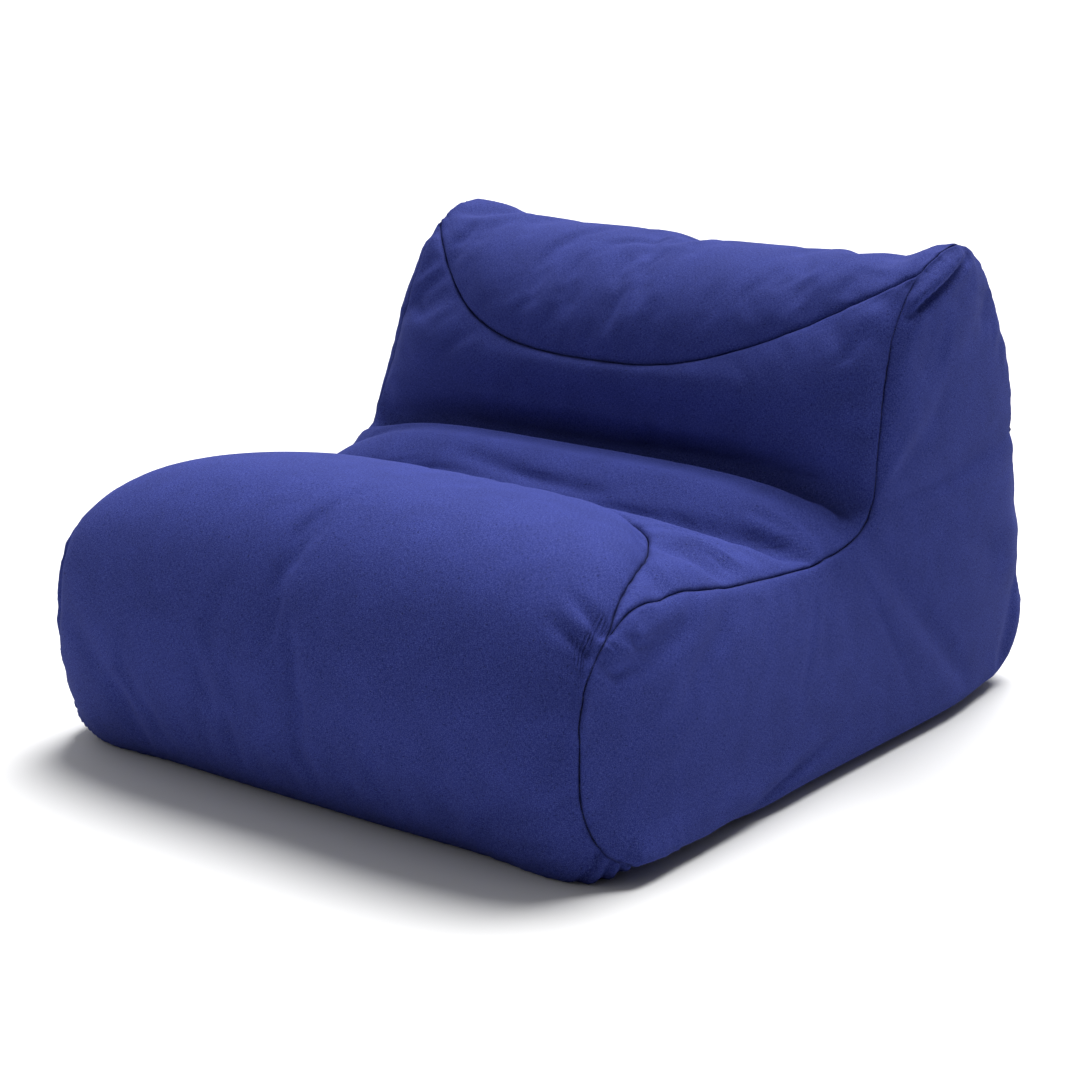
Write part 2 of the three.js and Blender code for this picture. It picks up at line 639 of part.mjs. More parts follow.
// The pull is a flat tongue with an eye round the bridge bar. At rest it lies back over the coil.
const eyeRadius = BRIDGE_RADIUS + PULL_CLEARANCE + EYE_WALL;
const tongue = new THREE.Shape();
const tongueAngle = Math.asin(PULL_THICKNESS / 2 / eyeRadius);
tongue.absarc(0, 0, eyeRadius, Math.PI + tongueAngle, Math.PI - tongueAngle + 2 * Math.PI, false);
tongue.lineTo(-PULL_LENGTH, PULL_THICKNESS / 2);
tongue.lineTo(-PULL_LENGTH, -PULL_THICKNESS / 2);
tongue.closePath();
const eye = new THREE.Path();
eye.absarc(0, 0, BRIDGE_RADIUS + PULL_CLEARANCE, 0, 2 * Math.PI, true);
tongue.holes.push(eye);
const pullGeometry = new THREE.ExtrudeGeometry(
  tongue, { depth: PULL_WIDTH, bevelEnabled: false, curveSegments: 8 });
pullGeometry.translate(0, 0, -PULL_WIDTH / 2);
const zipPull = addPart('zip_pull', pullGeometry, zipMetal(), rearZip);
zipPull.position.set(sliderHome, bridgeY, 0);

// ---------------------------------------------------------------- place the origin

// The origin is under the middle of the chair, on the floor.
const extent = new THREE.Box3().setFromObject(chair);
const middle = extent.getCenter(new THREE.Vector3());
chair.position.set(-middle.x, -middle.y, -extent.min.z);

export default chair;
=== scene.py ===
# Low bean bag lounge chair, in metres, +Z up, front facing -Y.
import math

import bmesh
import bpy
import numpy as np
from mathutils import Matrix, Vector, bvhtree, geometry, kdtree


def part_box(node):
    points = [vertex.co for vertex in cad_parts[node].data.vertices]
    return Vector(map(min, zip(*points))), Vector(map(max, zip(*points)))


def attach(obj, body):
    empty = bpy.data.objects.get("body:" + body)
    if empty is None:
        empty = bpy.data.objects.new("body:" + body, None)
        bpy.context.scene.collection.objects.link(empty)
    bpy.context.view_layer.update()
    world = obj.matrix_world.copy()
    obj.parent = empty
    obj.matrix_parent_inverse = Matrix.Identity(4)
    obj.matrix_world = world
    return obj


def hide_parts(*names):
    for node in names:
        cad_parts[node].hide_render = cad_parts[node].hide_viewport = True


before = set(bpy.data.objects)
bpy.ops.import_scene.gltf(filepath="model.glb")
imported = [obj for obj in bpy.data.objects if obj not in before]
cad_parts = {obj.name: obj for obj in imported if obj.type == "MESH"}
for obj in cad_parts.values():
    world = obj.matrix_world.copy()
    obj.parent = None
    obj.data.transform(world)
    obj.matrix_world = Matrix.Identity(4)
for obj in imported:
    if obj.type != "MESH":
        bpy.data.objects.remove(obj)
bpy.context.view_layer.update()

# ---------------------------------------------------------------- filled shape of the cover
# The cover is a band of cloth panels between two L-shaped side panels, on a flat base cloth.
# The filling pushes every panel out between its seams, so the shape is a side outline, which the
# side seams follow, with a crown over it. Its sizes are those of the plain solids.

side_low, side_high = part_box("left_side_panel")
front_y = side_low.y
outline_depth = side_high.y - side_low.y
outline_height = side_high.z
seam_half_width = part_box("front_panel")[1].x
zip_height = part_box("zip_slider")[0].z / 2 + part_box("zip_slider")[1].z / 2
zip_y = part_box("rear_panel")[1].y - front_y

front_round = 0.130
seat_height = 0.306
seat_depth = 0.590
crease_height = 0.267
crease_reach = 0.095
crease_rise = 0.058
rear_foot = 0.092
rear_bulge_height = 0.075
zip_flat = 0.044
crest_place = 0.52
foot_ease = 0.008            # the back rest's foot leaves the crease this far to the rear
shoulder_inset = 0.030       # the rear shoulder stands this far before the zip
shoulder_share = 0.41        # its height, as a share of the rise from the zip to the top
shoulder_ease = 0.007
lean_start = 0.8 * seat_height
top_lean = 0.021
bottom_tuck = 0.013
bottom_tuck_height = 0.060


def smooth(t):
    """A share from 0 to 1, eased at both ends."""
    return t * t * (3 - 2 * t)


def arc(centre, radii, start, end, count=60):
    angles = np.radians(np.linspace(start, end, count))
    return np.stack([centre[0] + radii[0] * np.cos(angles), centre[1] + radii[1] * np.sin(angles)], 1)


def bezier(a, b, c, d, count=80):
    t = np.linspace(0, 1, count)[:, None]
    a, b, c, d = (np.array(p) for p in (a, b, c, d))
    return a * (1 - t) ** 3 + 3 * b * t * (1 - t) ** 2 + 3 * c * t**2 * (1 - t) + d * t**3


def side_outline():
    """Points of the side outline, (distance back, height); plain shares place its control points."""
    crease_y = seat_depth - crease_reach
    foot_z = crease_height + crease_rise
    shoulder_y = zip_y - shoulder_inset
    crest_y = seat_depth + crest_place * (shoulder_y - seat_depth)
    zip_top = zip_height + zip_flat / 2
    zip_bottom = zip_height - zip_flat / 2
    shoulder_z = zip_top + shoulder_share * (outline_height - zip_top)
    run = crease_y - front_round
    rise = outline_height - foot_z
    rear_run = shoulder_y - crest_y
    drop = zip_bottom - rear_bulge_height
    top = outline_height
    pieces = [
        arc((front_round, front_round), (front_round, front_round), -90, -180),
        arc((front_round, seat_height - front_round), (front_round, front_round), 180, 90),
        bezier((front_round, seat_height), (front_round + 0.3 * run, seat_height),
               (crease_y - 0.5 * run, crease_height), (crease_y, crease_height)),
        arc((crease_y, foot_z), (crease_reach, crease_rise), -90, 0),
        bezier((seat_depth, foot_z), (seat_depth + foot_ease, foot_z + 0.52 * rise),
               (seat_depth + 0.3 * (crest_y - seat_depth), top), (crest_y, top)),
        bezier((crest_y, top), (crest_y + 0.6 * rear_run, top),
               (shoulder_y - 0.06 * rear_run, shoulder_z + 0.48 * (top - shoulder_z)),
               (shoulder_y, shoulder_z)),
        bezier((shoulder_y, shoulder_z),
               (shoulder_y + shoulder_ease, shoulder_z - 0.42 * (shoulder_z - zip_top)),
               (zip_y, zip_top + 0.33 * (shoulder_z - zip_top)), (zip_y, zip_top)),
        bezier((zip_y, zip_bottom), (zip_y, zip_bottom - 0.38 * drop),
               (outline_depth, rear_bulge_height + 0.38 * drop), (outline_depth, rear_bulge_height)),
        bezier((outline_depth, rear_bulge_height), (outline_depth, 0.4 * rear_bulge_height),
               (outline_depth - 0.46 * rear_foot, 0), (outline_depth - rear_foot, 0)),
    ]
    return np.vstack(pieces)


def resampled(points, step=0.001):
    """The same line with even steps, lightly smoothed so that its normal turns evenly."""
    lengths = np.concatenate([[0], np.cumsum(np.linalg.norm(np.diff(points, axis=0), axis=1))])
    keep = np.concatenate([[True], np.diff(lengths) > 1e-7])
    stations = np.arange(0, lengths[-1], step)
    line = np.stack([np.interp(stations, lengths[keep], points[keep, i]) for i in (0, 1)], 1)
    kernel = np.hanning(17) / np.hanning(17).sum()
    padded = np.vstack([2 * line[0] - line[8:0:-1], line, 2 * line[-1] - line[-2:-10:-1]])
    return stations, np.stack([np.convolve(padded[:, i], kernel, "valid") for i in (0, 1)], 1)


stations, outline = resampled(side_outline())
last_station = stations[-1]
tangents = np.gradient(outline, axis=0)
tangents /= np.linalg.norm(tangents, axis=1)[:, None]
normals = np.stack([-tangents[:, 1], tangents[:, 0]], 1)


def station_where(start, reached):
    """First station past a start where the outline's point passes a test."""
    found = (stations > start) & reached(outline[:, 0], outline[:, 1])
    return stations[np.argmax(found)]


seat_seam_near = 0.048       # the seat seam's distance back, at the side seams
seat_seam_far = 0.345        # and at mid width
mid_seat_back = 0.310
valley_back = 0.415
smile_height = 0.434
smile_drop = 0.019           # the smile seam ends this far below the top
crest_back = 0.174           # the top edge, behind the foot of the back rest
shoulder_height = 0.370
seat_seam_side = station_where(0, lambda y, z: (y > seat_seam_near) & (z > seat_height / 2))
seat_seam_middle = station_where(seat_seam_side, lambda y, z: y > seat_seam_far)
front_top = station_where(0, lambda y, z: (y > front_round / 2) & (z > seat_height / 2))
mid_seat = station_where(front_top, lambda y, z: y > mid_seat_back)
valley = station_where(mid_seat, lambda y, z: y > valley_back)
seat_swell = station_where(mid_seat, lambda y, z: y > seat_depth - 0.9 * crease_reach)
crease = station_where(mid_seat, lambda y, z: y > seat_depth - 0.35 * crease_reach)
crease_fold = station_where(mid_seat, lambda y, z: y > seat_depth - 0.08 * crease_reach)
back_foot = station_where(crease, lambda y, z: z > crease_height + crease_rise)
smile_middle = station_where(crease, lambda y, z: z > smile_height)
smile_side = station_where(smile_middle, lambda y, z: z > outline_height - smile_drop)
crest = station_where(smile_side, lambda y, z: y > seat_depth + crest_back)
rear_shoulder = station_where(crest, lambda y, z: z < shoulder_height)
head_rear = station_where(crest, lambda y, z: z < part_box("head_panel")[0].z)
zip_top_edge = station_where(crest, lambda y, z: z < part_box("rear_panel")[0].z)
zip_bottom_edge = station_where(crest, lambda y, z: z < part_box("rear_lower_panel")[1].z)
rear_bulge = station_where(crest, lambda y, z: z < rear_bulge_height)

# Crown over the outline at mid width, and how flat it is across: a high power keeps it flat far out.
crown_table = np.array([
    # station, crown, power
    [0.000, 0.000, 4.0],
    [0.045, 0.014, 4.5],
    [0.090, 0.036, 4.5],
    [0.250, 0.038, 3.6],
    [front_top, 0.045, 4.2],
    [mid_seat, 0.050, 3.6],
    [valley, 0.010, 3.2],
    [seat_swell, 0.054, 4.6],
    [crease, 0.048, 4.6],
    [crease_fold, 0.006, 3.6],
    [back_foot, -0.014, 3.6],
    [back_foot + 0.045, 0.012, 3.4],
    [smile_middle, 0.028, 3.0],
    [smile_side, -0.012, 3.6],
    [crest, -0.026, 4.5],
    [rear_shoulder, 0.026, 3.0],
    [zip_top_edge, 0.000, 3.0],
    [zip_bottom_edge, 0.000, 3.0],
    [rear_bulge, 0.014, 3.0],
    [last_station, 0.000, 3.0],
])


def eased(x, table_x, table_y):
    """Smooth steps between the values of a table."""
    i = np.clip(np.searchsorted(table_x, x, side="right") - 1, 0, len(table_x) - 2)
    t = np.clip((x - table_x[i]) / (table_x[i + 1] - table_x[i]), 0, 1)
    return table_y[i] + (table_y[i + 1] - table_y[i]) * smooth(t)


def at_station(table, station):
    """The two columns of a table along the outline, at some stations."""
    return [np.interp(station, stations, table[:, i]) for i in (0, 1)]


def seam_half(z):
    """Half the width between the side seams at a height."""
    lean = np.clip((z - lean_start) / (outline_height - lean_start), 0, 1)
    tuck = 1 - np.clip(z / bottom_tuck_height, 0, 1)
    return seam_half_width - top_lean * smooth(lean) - bottom_tuck * tuck**2


def band_points(station, across, depth=0.0):
    """Points of the band for arrays of stations and places across, -1 to 1, at a depth inside."""
    station = np.clip(station, 0, last_station)
    y, z = at_station(outline, station)
    ny, nz = at_station(normals, station)
    crown = eased(station, crown_table[:, 0], crown_table[:, 1])
    power = eased(station, crown_table[:, 0], crown_table[:, 2])
    lift = crown * (1 - np.abs(across) ** power) - depth
    x = (seam_half(z) - depth) * across
    return settled(np.stack([x, front_y + y + ny * lift, z + nz * lift], -1))


side_bulge = 0.034
side_bulge_reach = 0.070
side_foot = 0.044
side_foot_reach = 0.009
side_foot_height = 0.045


def side_bulge_at(y, z, distance):
    """How far a side panel stands past its seam, by its distance from the seam."""
    low = np.clip(1 - z / outline_height, 0, 1)
    swell = (0.35 + 0.65 * low) * side_bulge * (1 - np.exp(-distance / side_bulge_reach))
    foot = side_foot * (1 - np.exp(-distance / side_foot_reach))
    foot *= np.exp(-np.clip(z / side_foot_height, 0, 8) ** 2)
    return np.maximum(swell, 0) + foot


# Places where the filling pushes the cover further out, or the cloth hangs slacker:
# (x, y, z) of the place, reach in each direction, and the push there.
pushes = [
    ((0.360, -0.438, 0.015), (0.080, 0.060, 0.055), (0.018, -0.010, -0.022)),
    ((-0.350, -0.440, 0.020), (0.080, 0.060, 0.060), (-0.014, -0.006, -0.018)),
    ((0.395, -0.385, 0.000), (0.040, 0.090, 0.050), (0.024, 0.000, 0.022)),
    ((0.400, -0.250, 0.000), (0.035, 0.075, 0.030), (0.022, 0.000, 0.012)),
    ((-0.410, -0.440, 0.160), (0.090, 0.100, 0.110), (-0.013, -0.006, 0.000)),
    ((-0.400, -0.420, 0.290), (0.080, 0.110, 0.070), (-0.016, -0.006, 0.002)),
    ((-0.410, 0.095, 0.310), (0.060, 0.060, 0.060), (-0.008, -0.008, 0.004)),
    ((-0.395, 0.130, 0.420), (0.060, 0.090, 0.100), (0.009, 0.000, 0.000)),
    ((0.395, 0.120, 0.430), (0.050, 0.080, 0.090), (0.009, 0.000, 0.000)),
    ((0.398, -0.220, 0.300), (0.040, 0.140, 0.050), (-0.002, 0.000, -0.006)),
    ((0.400, 0.110, 0.330), (0.060, 0.090, 0.090), (0.008, 0.000, 0.000)),
    ((0.395, 0.290, 0.600), (0.050, 0.130, 0.090), (0.016, 0.006, 0.012)),
    ((-0.385, 0.250, 0.600), (0.050, 0.090, 0.060), (-0.004, 0.000, 0.005)),
    ((0.420, 0.440, 0.400), (0.110, 0.110, 0.160), (0.010, 0.018, 0.000)),
    ((0.430, 0.420, 0.230), (0.045, 0.110, 0.100), (0.010, 0.000, 0.000)),
    ((0.410, 0.490, 0.100), (0.100, 0.100, 0.060), (0.008, 0.015, 0.000)),
    ((0.420, 0.440, 0.000), (0.070, 0.100, 0.050), (-0.020, -0.014, 0.000)),
]
back_lean = 0.008
back_lean_start = 0.30
back_lean_rise = 0.25


def settled(points):
    """The cover as it stands: leaning a little, pushed out in places, and flat on the floor."""
    moved = points.copy()
    rise = np.clip((points[..., 2] - back_lean_start) / back_lean_rise, 0, 1)
    moved[..., 0] += back_lean * smooth(rise)
    for place, reach, push in pushes:
        away = (((points - np.array(place)) / np.array(reach)) ** 2).sum(-1)
        moved += np.exp(-away)[..., None] * np.array(push)
    return moved


def spaced(length, fine, step):
    """Distances along a length, crowded at both ends: the given fine ones, then even steps."""
    inner = length - 2 * fine[-1]
    middle = np.linspace(fine[-1], length - fine[-1], max(2, round(inner / step) + 1))
    return np.concatenate([fine[:-1], middle, length - np.array(fine[:-1])[::-1]])


def new_object(name, data):
    made = bpy.data.objects.new(name, data)
    bpy.context.collection.objects.link(made)
    return made


def point_tree(points):
    tree = kdtree.KDTree(len(points))
    for i, point in enumerate(points):
        tree.insert(point, i)
    tree.balance()
    return tree


# Lines where two panels of the band are sewn together, as a station for each place across.
def seat_seam(across):
    return seat_seam_middle + (seat_seam_side - seat_seam_middle) * np.abs(across) ** 4.7


def smile_seam(across):
    power = np.where(across < 0, 3.6, 2.2)
    return smile_middle + (smile_side - smile_middle) * np.abs(across) ** power


def level_seam(station):
    return lambda across: np.full_like(across, station)


band_panels = [
    ("front", level_seam(0.0), seat_seam),
    ("seat_back", seat_seam, smile_seam),
    ("head", smile_seam, level_seam(head_rear)),
    ("rear_upper", level_seam(head_rear), level_seam(zip_top_edge)),
    ("rear_lower", level_seam(zip_bottom_edge), level_seam(last_station)),
]


def band_grid(start, end, across, fine, step):
    """Stations and places across of a panel's grid, rows first."""
    length = float(end(np.zeros(1))[0] - start(np.zeros(1))[0])
    share = spaced(length, fine, step)[:, None] / length
    first, last = start(across)[None], end(across)[None]
    return first + (last - first) * share, np.broadcast_to(across, (len(share), len(across)))


def grid_faces(rows, columns):
    at = np.arange(rows * columns).reshape(rows, columns)
    quads = np.stack([at[:-1, :-1], at[:-1, 1:], at[1:, 1:], at[1:, :-1]], -1)
    return quads.reshape(-1, 4)


def side_mesh(border_stations, base_steps, offsets, step):
    """Flat layout of a side panel: (distance back, height) points, faces, distance in, border."""
    border = np.stack(at_station(outline, border_stations), 1)
    inward = -np.stack(at_station(normals, border_stations), 1)
    base_y = np.linspace(border[-1, 0], border[0, 0], base_steps + 1)[1:-1]
    base = np.stack([base_y, np.zeros_like(base_y)], 1)
    loop = np.vstack([border, base])
    inward = np.vstack([inward, np.tile([0.0, 1.0], (len(base), 1))])
    loops = [loop + inward * d for d in (0.0, *offsets)]
    floor_edge = np.stack([np.linspace(border[0, 0], border[-1, 0], 800), np.zeros(800)], 1)
    nearest = point_tree([(y, z, 0) for y, z in np.vstack([outline, floor_edge])])
    low, high = loop.min(0), loop.max(0)
    rows = np.arange(low[1], high[1], 0.866 * step)  # so that the triangles come out even
    inner = []
    for r, z in enumerate(rows):
        for y in np.arange(low[0] + (r % 2) * step / 2, high[0], step):
            if nearest.find((y, z, 0))[2] > (offsets[-1] if offsets else 0) + 0.7 * step:
                inner.append((y, z))
    flat = np.vstack([*loops, np.array(inner)])
    count = len(loop)
    edges = [(i, (i + 1) % count) for i in range(count)]
    made = geometry.delaunay_2d_cdt([Vector(p) for p in flat], edges, [], 1, 1e-7)
    points = np.array([tuple(p) for p in made[0]])
    distance = np.array([nearest.find((y, z, 0))[2] for y, z in points])
    order = {}
    for new, old in enumerate(made[3]):
        for i in old:
            order[i] = new
    return points, np.array(made[2]), distance, np.array([order[i] for i in range(count)])


def side_points(flat, distance, side):
    y, z = flat[:, 0], flat[:, 1]
    x = seam_half(z) + side_bulge_at(y, z, distance)
    return settled(np.stack([side * x, front_y + y, z], -1))


def smoothed(mesh):
    mesh.polygons.foreach_set("use_smooth", np.ones(len(mesh.polygons), bool))
    mesh.update()
    return mesh


def new_mesh(name, points, faces):
    mesh = bpy.data.meshes.new(name)
    faces = faces if isinstance(faces, list) else faces.tolist()
    mesh.from_pydata(points.reshape(-1, 3).tolist(), [], faces)
    return smoothed(mesh)


def vertex_array(mesh):
    values = np.zeros(len(mesh.vertices) * 3, np.float32)
    mesh.vertices.foreach_get("co", values)
    return values.reshape(-1, 3).astype(float)


# ---------------------------------------------------------------- skin and seams of the cover
# A coarse skin of the whole cover in one piece. It is swollen as cloth held at its seams, and the
# panels take their swell and their smooth outward directions from it.
skin_step = 0.012
skin_across = np.linspace(-1, 1, 67)
skin_station, skin_place = [], []
for name, start, end in band_panels:
    s, a = band_grid(start, end, skin_across, [0.0, skin_step], skin_step)
    joined = 1 if skin_station and name != "rear_lower" else 0
    skin_station.append(s[joined:])
    skin_place.append(a[joined:])
skin_station, skin_place = np.vstack(skin_station), np.vstack(skin_place)
band_rest = band_points(skin_station, skin_place)
base_count = 62
side_flat, side_faces, side_distance, side_border = side_mesh(
    skin_station[:, -1], base_count, [], skin_step)
rows, columns = skin_station.shape


def base_grid(count, across):
    """Rows of points of the base cloth, from the rear edge to the front one."""
    y = np.linspace(outline[-1, 0], outline[0, 0], count + 1)[:, None] + front_y
    x = seam_half(0.0) * across[None]
    return settled(np.stack([x + 0 * y, y + 0 * x, 0 * x + 0 * y], -1))


base_rest = base_grid(base_count, skin_across)
skin_points = [band_rest.reshape(-1, 3), base_rest.reshape(-1, 3)]
skin_faces = grid_faces(rows, columns).tolist()
skin_faces += (grid_faces(base_count + 1, columns) + rows * columns).tolist()
count = (rows + base_count + 1) * columns
for side in (-1, 1):
    skin_points.append(side_points(side_flat, side_distance, side))
    skin_faces += ((side_faces if side > 0 else side_faces[:, ::-1]) + count).tolist()
    count += len(side_flat)
skin = new_mesh("cover_skin", np.vstack(skin_points), skin_faces)
merging = bmesh.new()
merging.from_mesh(skin)
bmesh.ops.remove_doubles(merging, verts=merging.verts, dist=1e-5)
merging.to_mesh(skin)
merging.free()
skin_rest = vertex_array(skin)

# Seams as rows of points, with the distance along each, for the sewn grooves and gathers.
seam_lines = []
seam_step = 0.0008


def add_seam(name, points):
    lengths = np.concatenate([[0], np.cumsum(np.linalg.norm(np.diff(points, axis=0), axis=1))])
    along = np.arange(0, lengths[-1], seam_step)
    even = np.stack([np.interp(along, lengths, points[:, i]) for i in range(3)], 1)
    seam_lines.append((name, along, even))


across_line = np.linspace(-1, 1, 1201)
for side in (-1, 1):
    line = np.arange(0, last_station, 0.002)
    add_seam("side_left" if side < 0 else "side_right", band_points(line, np.full_like(line, side)))
add_seam("seat", band_points(seat_seam(across_line), across_line))
add_seam("smile", band_points(smile_seam(across_line), across_line))
for name, station in (("head_rear", head_rear), ("zip_top", zip_top_edge), ("zip_bottom", zip_bottom_edge),
                      ("base_front", 0.0), ("base_rear", last_station)):
    add_seam(name, band_points(np.full_like(across_line, station), across_line))
base_line = np.linspace(side_flat[side_border[0], 0], side_flat[side_border[rows - 1], 0], 600)
for side in (-1, 1):
    flat = np.stack([base_line, np.zeros_like(base_line)], 1)
    add_seam("base_left" if side < 0 else "base_right", side_points(flat, np.zeros_like(base_line), side))
seam_names = [name for name, along, points in seam_lines]
seam_tree = point_tree(np.vstack([points for name, along, points in seam_lines]))
seam_along = np.concatenate([along for name, along, points in seam_lines])
seam_index = np.repeat(np.arange(len(seam_lines)), [len(along) for name, along, points in seam_lines])


def nearest_seam(points):
    """For each point: distance to the nearest seam, which seam, and how far along it."""
    found = [seam_tree.find(point) for point in points]
    index = np.array([item[1] for item in found])
    return np.array([item[2] for item in found]), seam_index[index], seam_along[index]


seam_reach = 0.003           # the seams hold the cloth this far to each side
floor_reach = 0.030          # the floor holds it up to this height
side_start = 0.402           # the side panels lie past this, from mid width
top_start = 0.48             # the top of the back rest starts at this height
hold_floor = 0.80
hold_seam = 0.55
hold_side = 0.10
hold_top = 0.09
hold_rest = 0.04
ease_side = 0.45
ease_rest = 0.10
ease_reach = 0.020
most_swell = 0.016


def swell_in_cloth(mesh):
    """Blow the skin up a little as cloth sewn at its seams; gives each vertex's move."""
    swollen = new_object("cover_skin_sim", mesh.copy())
    distance = nearest_seam(skin_rest)[0]
    held = swollen.vertex_groups.new(name="held")
    gather = swollen.vertex_groups.new(name="gather")
    for i, (x, y, z) in enumerate(skin_rest):
        loose = hold_side if abs(x) > side_start else hold_top if z > top_start else hold_rest
        firm = hold_floor if z < floor_reach else hold_seam if distance[i] < seam_reach else 0.0
        held.add([i], max(firm, loose), "REPLACE")
        ease = ease_side if abs(x) > side_start + seam_reach else ease_rest
        gather.add([i], ease + (1 - ease) * float(np.exp(-distance[i] / ease_reach)), "REPLACE")
    cloth = swollen.modifiers.new("cloth", "CLOTH")
    settings = cloth.settings
    settings.quality = 5
    settings.mass = 0.25
    settings.tension_stiffness = 18
    settings.compression_stiffness = 12
    settings.shear_stiffness = 8
    settings.bending_stiffness = 0.12
    settings.vertex_group_mass = "held"
    settings.pin_stiffness = 1.2
    settings.vertex_group_shrink = "gather"
    settings.shrink_min = -0.035
    settings.shrink_max = 0.045
    settings.use_pressure = True
    settings.uniform_pressure_force = 3.0
    settings.effector_weights.gravity = 0
    cloth.collision_settings.use_collision = False
    cloth.collision_settings.use_self_collision = False
    frames = 22
    cloth.point_cache.frame_start = 1
    cloth.point_cache.frame_end = frames
    for number in range(1, frames + 1):
        bpy.context.scene.frame_set(number)
    evaluated = swollen.evaluated_get(bpy.context.evaluated_depsgraph_get())
    result = vertex_array(evaluated.to_mesh())
    evaluated.to_mesh_clear()
    bpy.context.scene.frame_set(1)
    bpy.data.objects.remove(swollen)
    move = result - skin_rest
    size = np.linalg.norm(move, axis=1, keepdims=True)
    return move * (most_swell * np.tanh(size / most_swell) / np.maximum(size, 1e-9))


skin_move = swell_in_cloth(skin)
flat_skin_points = skin_rest + skin_move
flat_skin = new_mesh("cover_skin_moved", flat_skin_points, [tuple(p.vertices) for p in skin.polygons])
skin_normals = np.array([tuple(v.normal) for v in flat_skin.vertices])
skin_tree = point_tree(skin_rest)


def carried(points):
    """Move and smooth outward direction of the skin, at points on or near it."""
    near = [skin_tree.find_n(point, 9) for point in points]
    index = np.array([[item[1] for item in found] for found in near])
    away = np.array([[item[2] for item in found] for found in near])
    weight = np.exp(-(away / (0.75 * skin_step)) ** 2) + 1e-6
    weight /= weight.sum(1, keepdims=True)
    move = (skin_move[index] * weight[..., None]).sum(1)
    normal = (skin_normals[index] * weight[..., None]).sum(1)
    return move, normal / np.linalg.norm(normal, axis=1)[:, None]


# Gathers: along each seam the cloth is eased in, so small folds run out from the stitches.
gather_random = np.random.default_rng(41)
gather_waves = []
for name, along, points in seam_lines:
    raw = gather_random.normal(size=len(along) + 400)
    fine = np.convolve(raw, np.hanning(15), "same")
    broad = np.convolve(raw, np.hanning(55), "same")
    wave = fine / fine.std() * 0.45 + broad / broad.std()
    gather_waves.append(wave[200:200 + len(along)])

# Places where the gathers are strongest: (x, y, z), reach, strength.
gather_places = [
    ((0.398, -0.430, 0.285), 0.075, 0.6),
    ((-0.398, -0.430, 0.285), 0.075, 0.6),
    ((0.385, -0.420, 0.020), 0.110, 3.5),
    ((-0.385, -0.420, 0.020), 0.110, 3.5),
    ((0.380, 0.230, 0.590), 0.090, 0.8),
    ((-0.380, 0.230, 0.590), 0.090, 0.8),
    ((0.398, 0.090, 0.290), 0.120, 1.6),
    ((-0.398, 0.140, 0.400), 0.140, -0.7),
]
gather_height = 0.00075


def evened(places):
    """The two columns of a short list of places, with four times as many rows."""
    even = np.linspace(0, 1, 4 * len(places))
    given = np.linspace(0, 1, len(places))
    return [np.interp(even, given, line) for line in np.array(places, float).T]


def side_path(*places):
    """A line on the right side panel through some (distance back, height) places."""
    flat = np.stack(evened(places), 1)
    distance = np.array([np.linalg.norm(outline - place, axis=1).min() for place in flat])
    return side_points(flat, np.minimum(distance, flat[:, 1]), 1)


def band_path(*places):
    """A line on the band through some (station, place across) places."""
    return band_points(*evened(places))


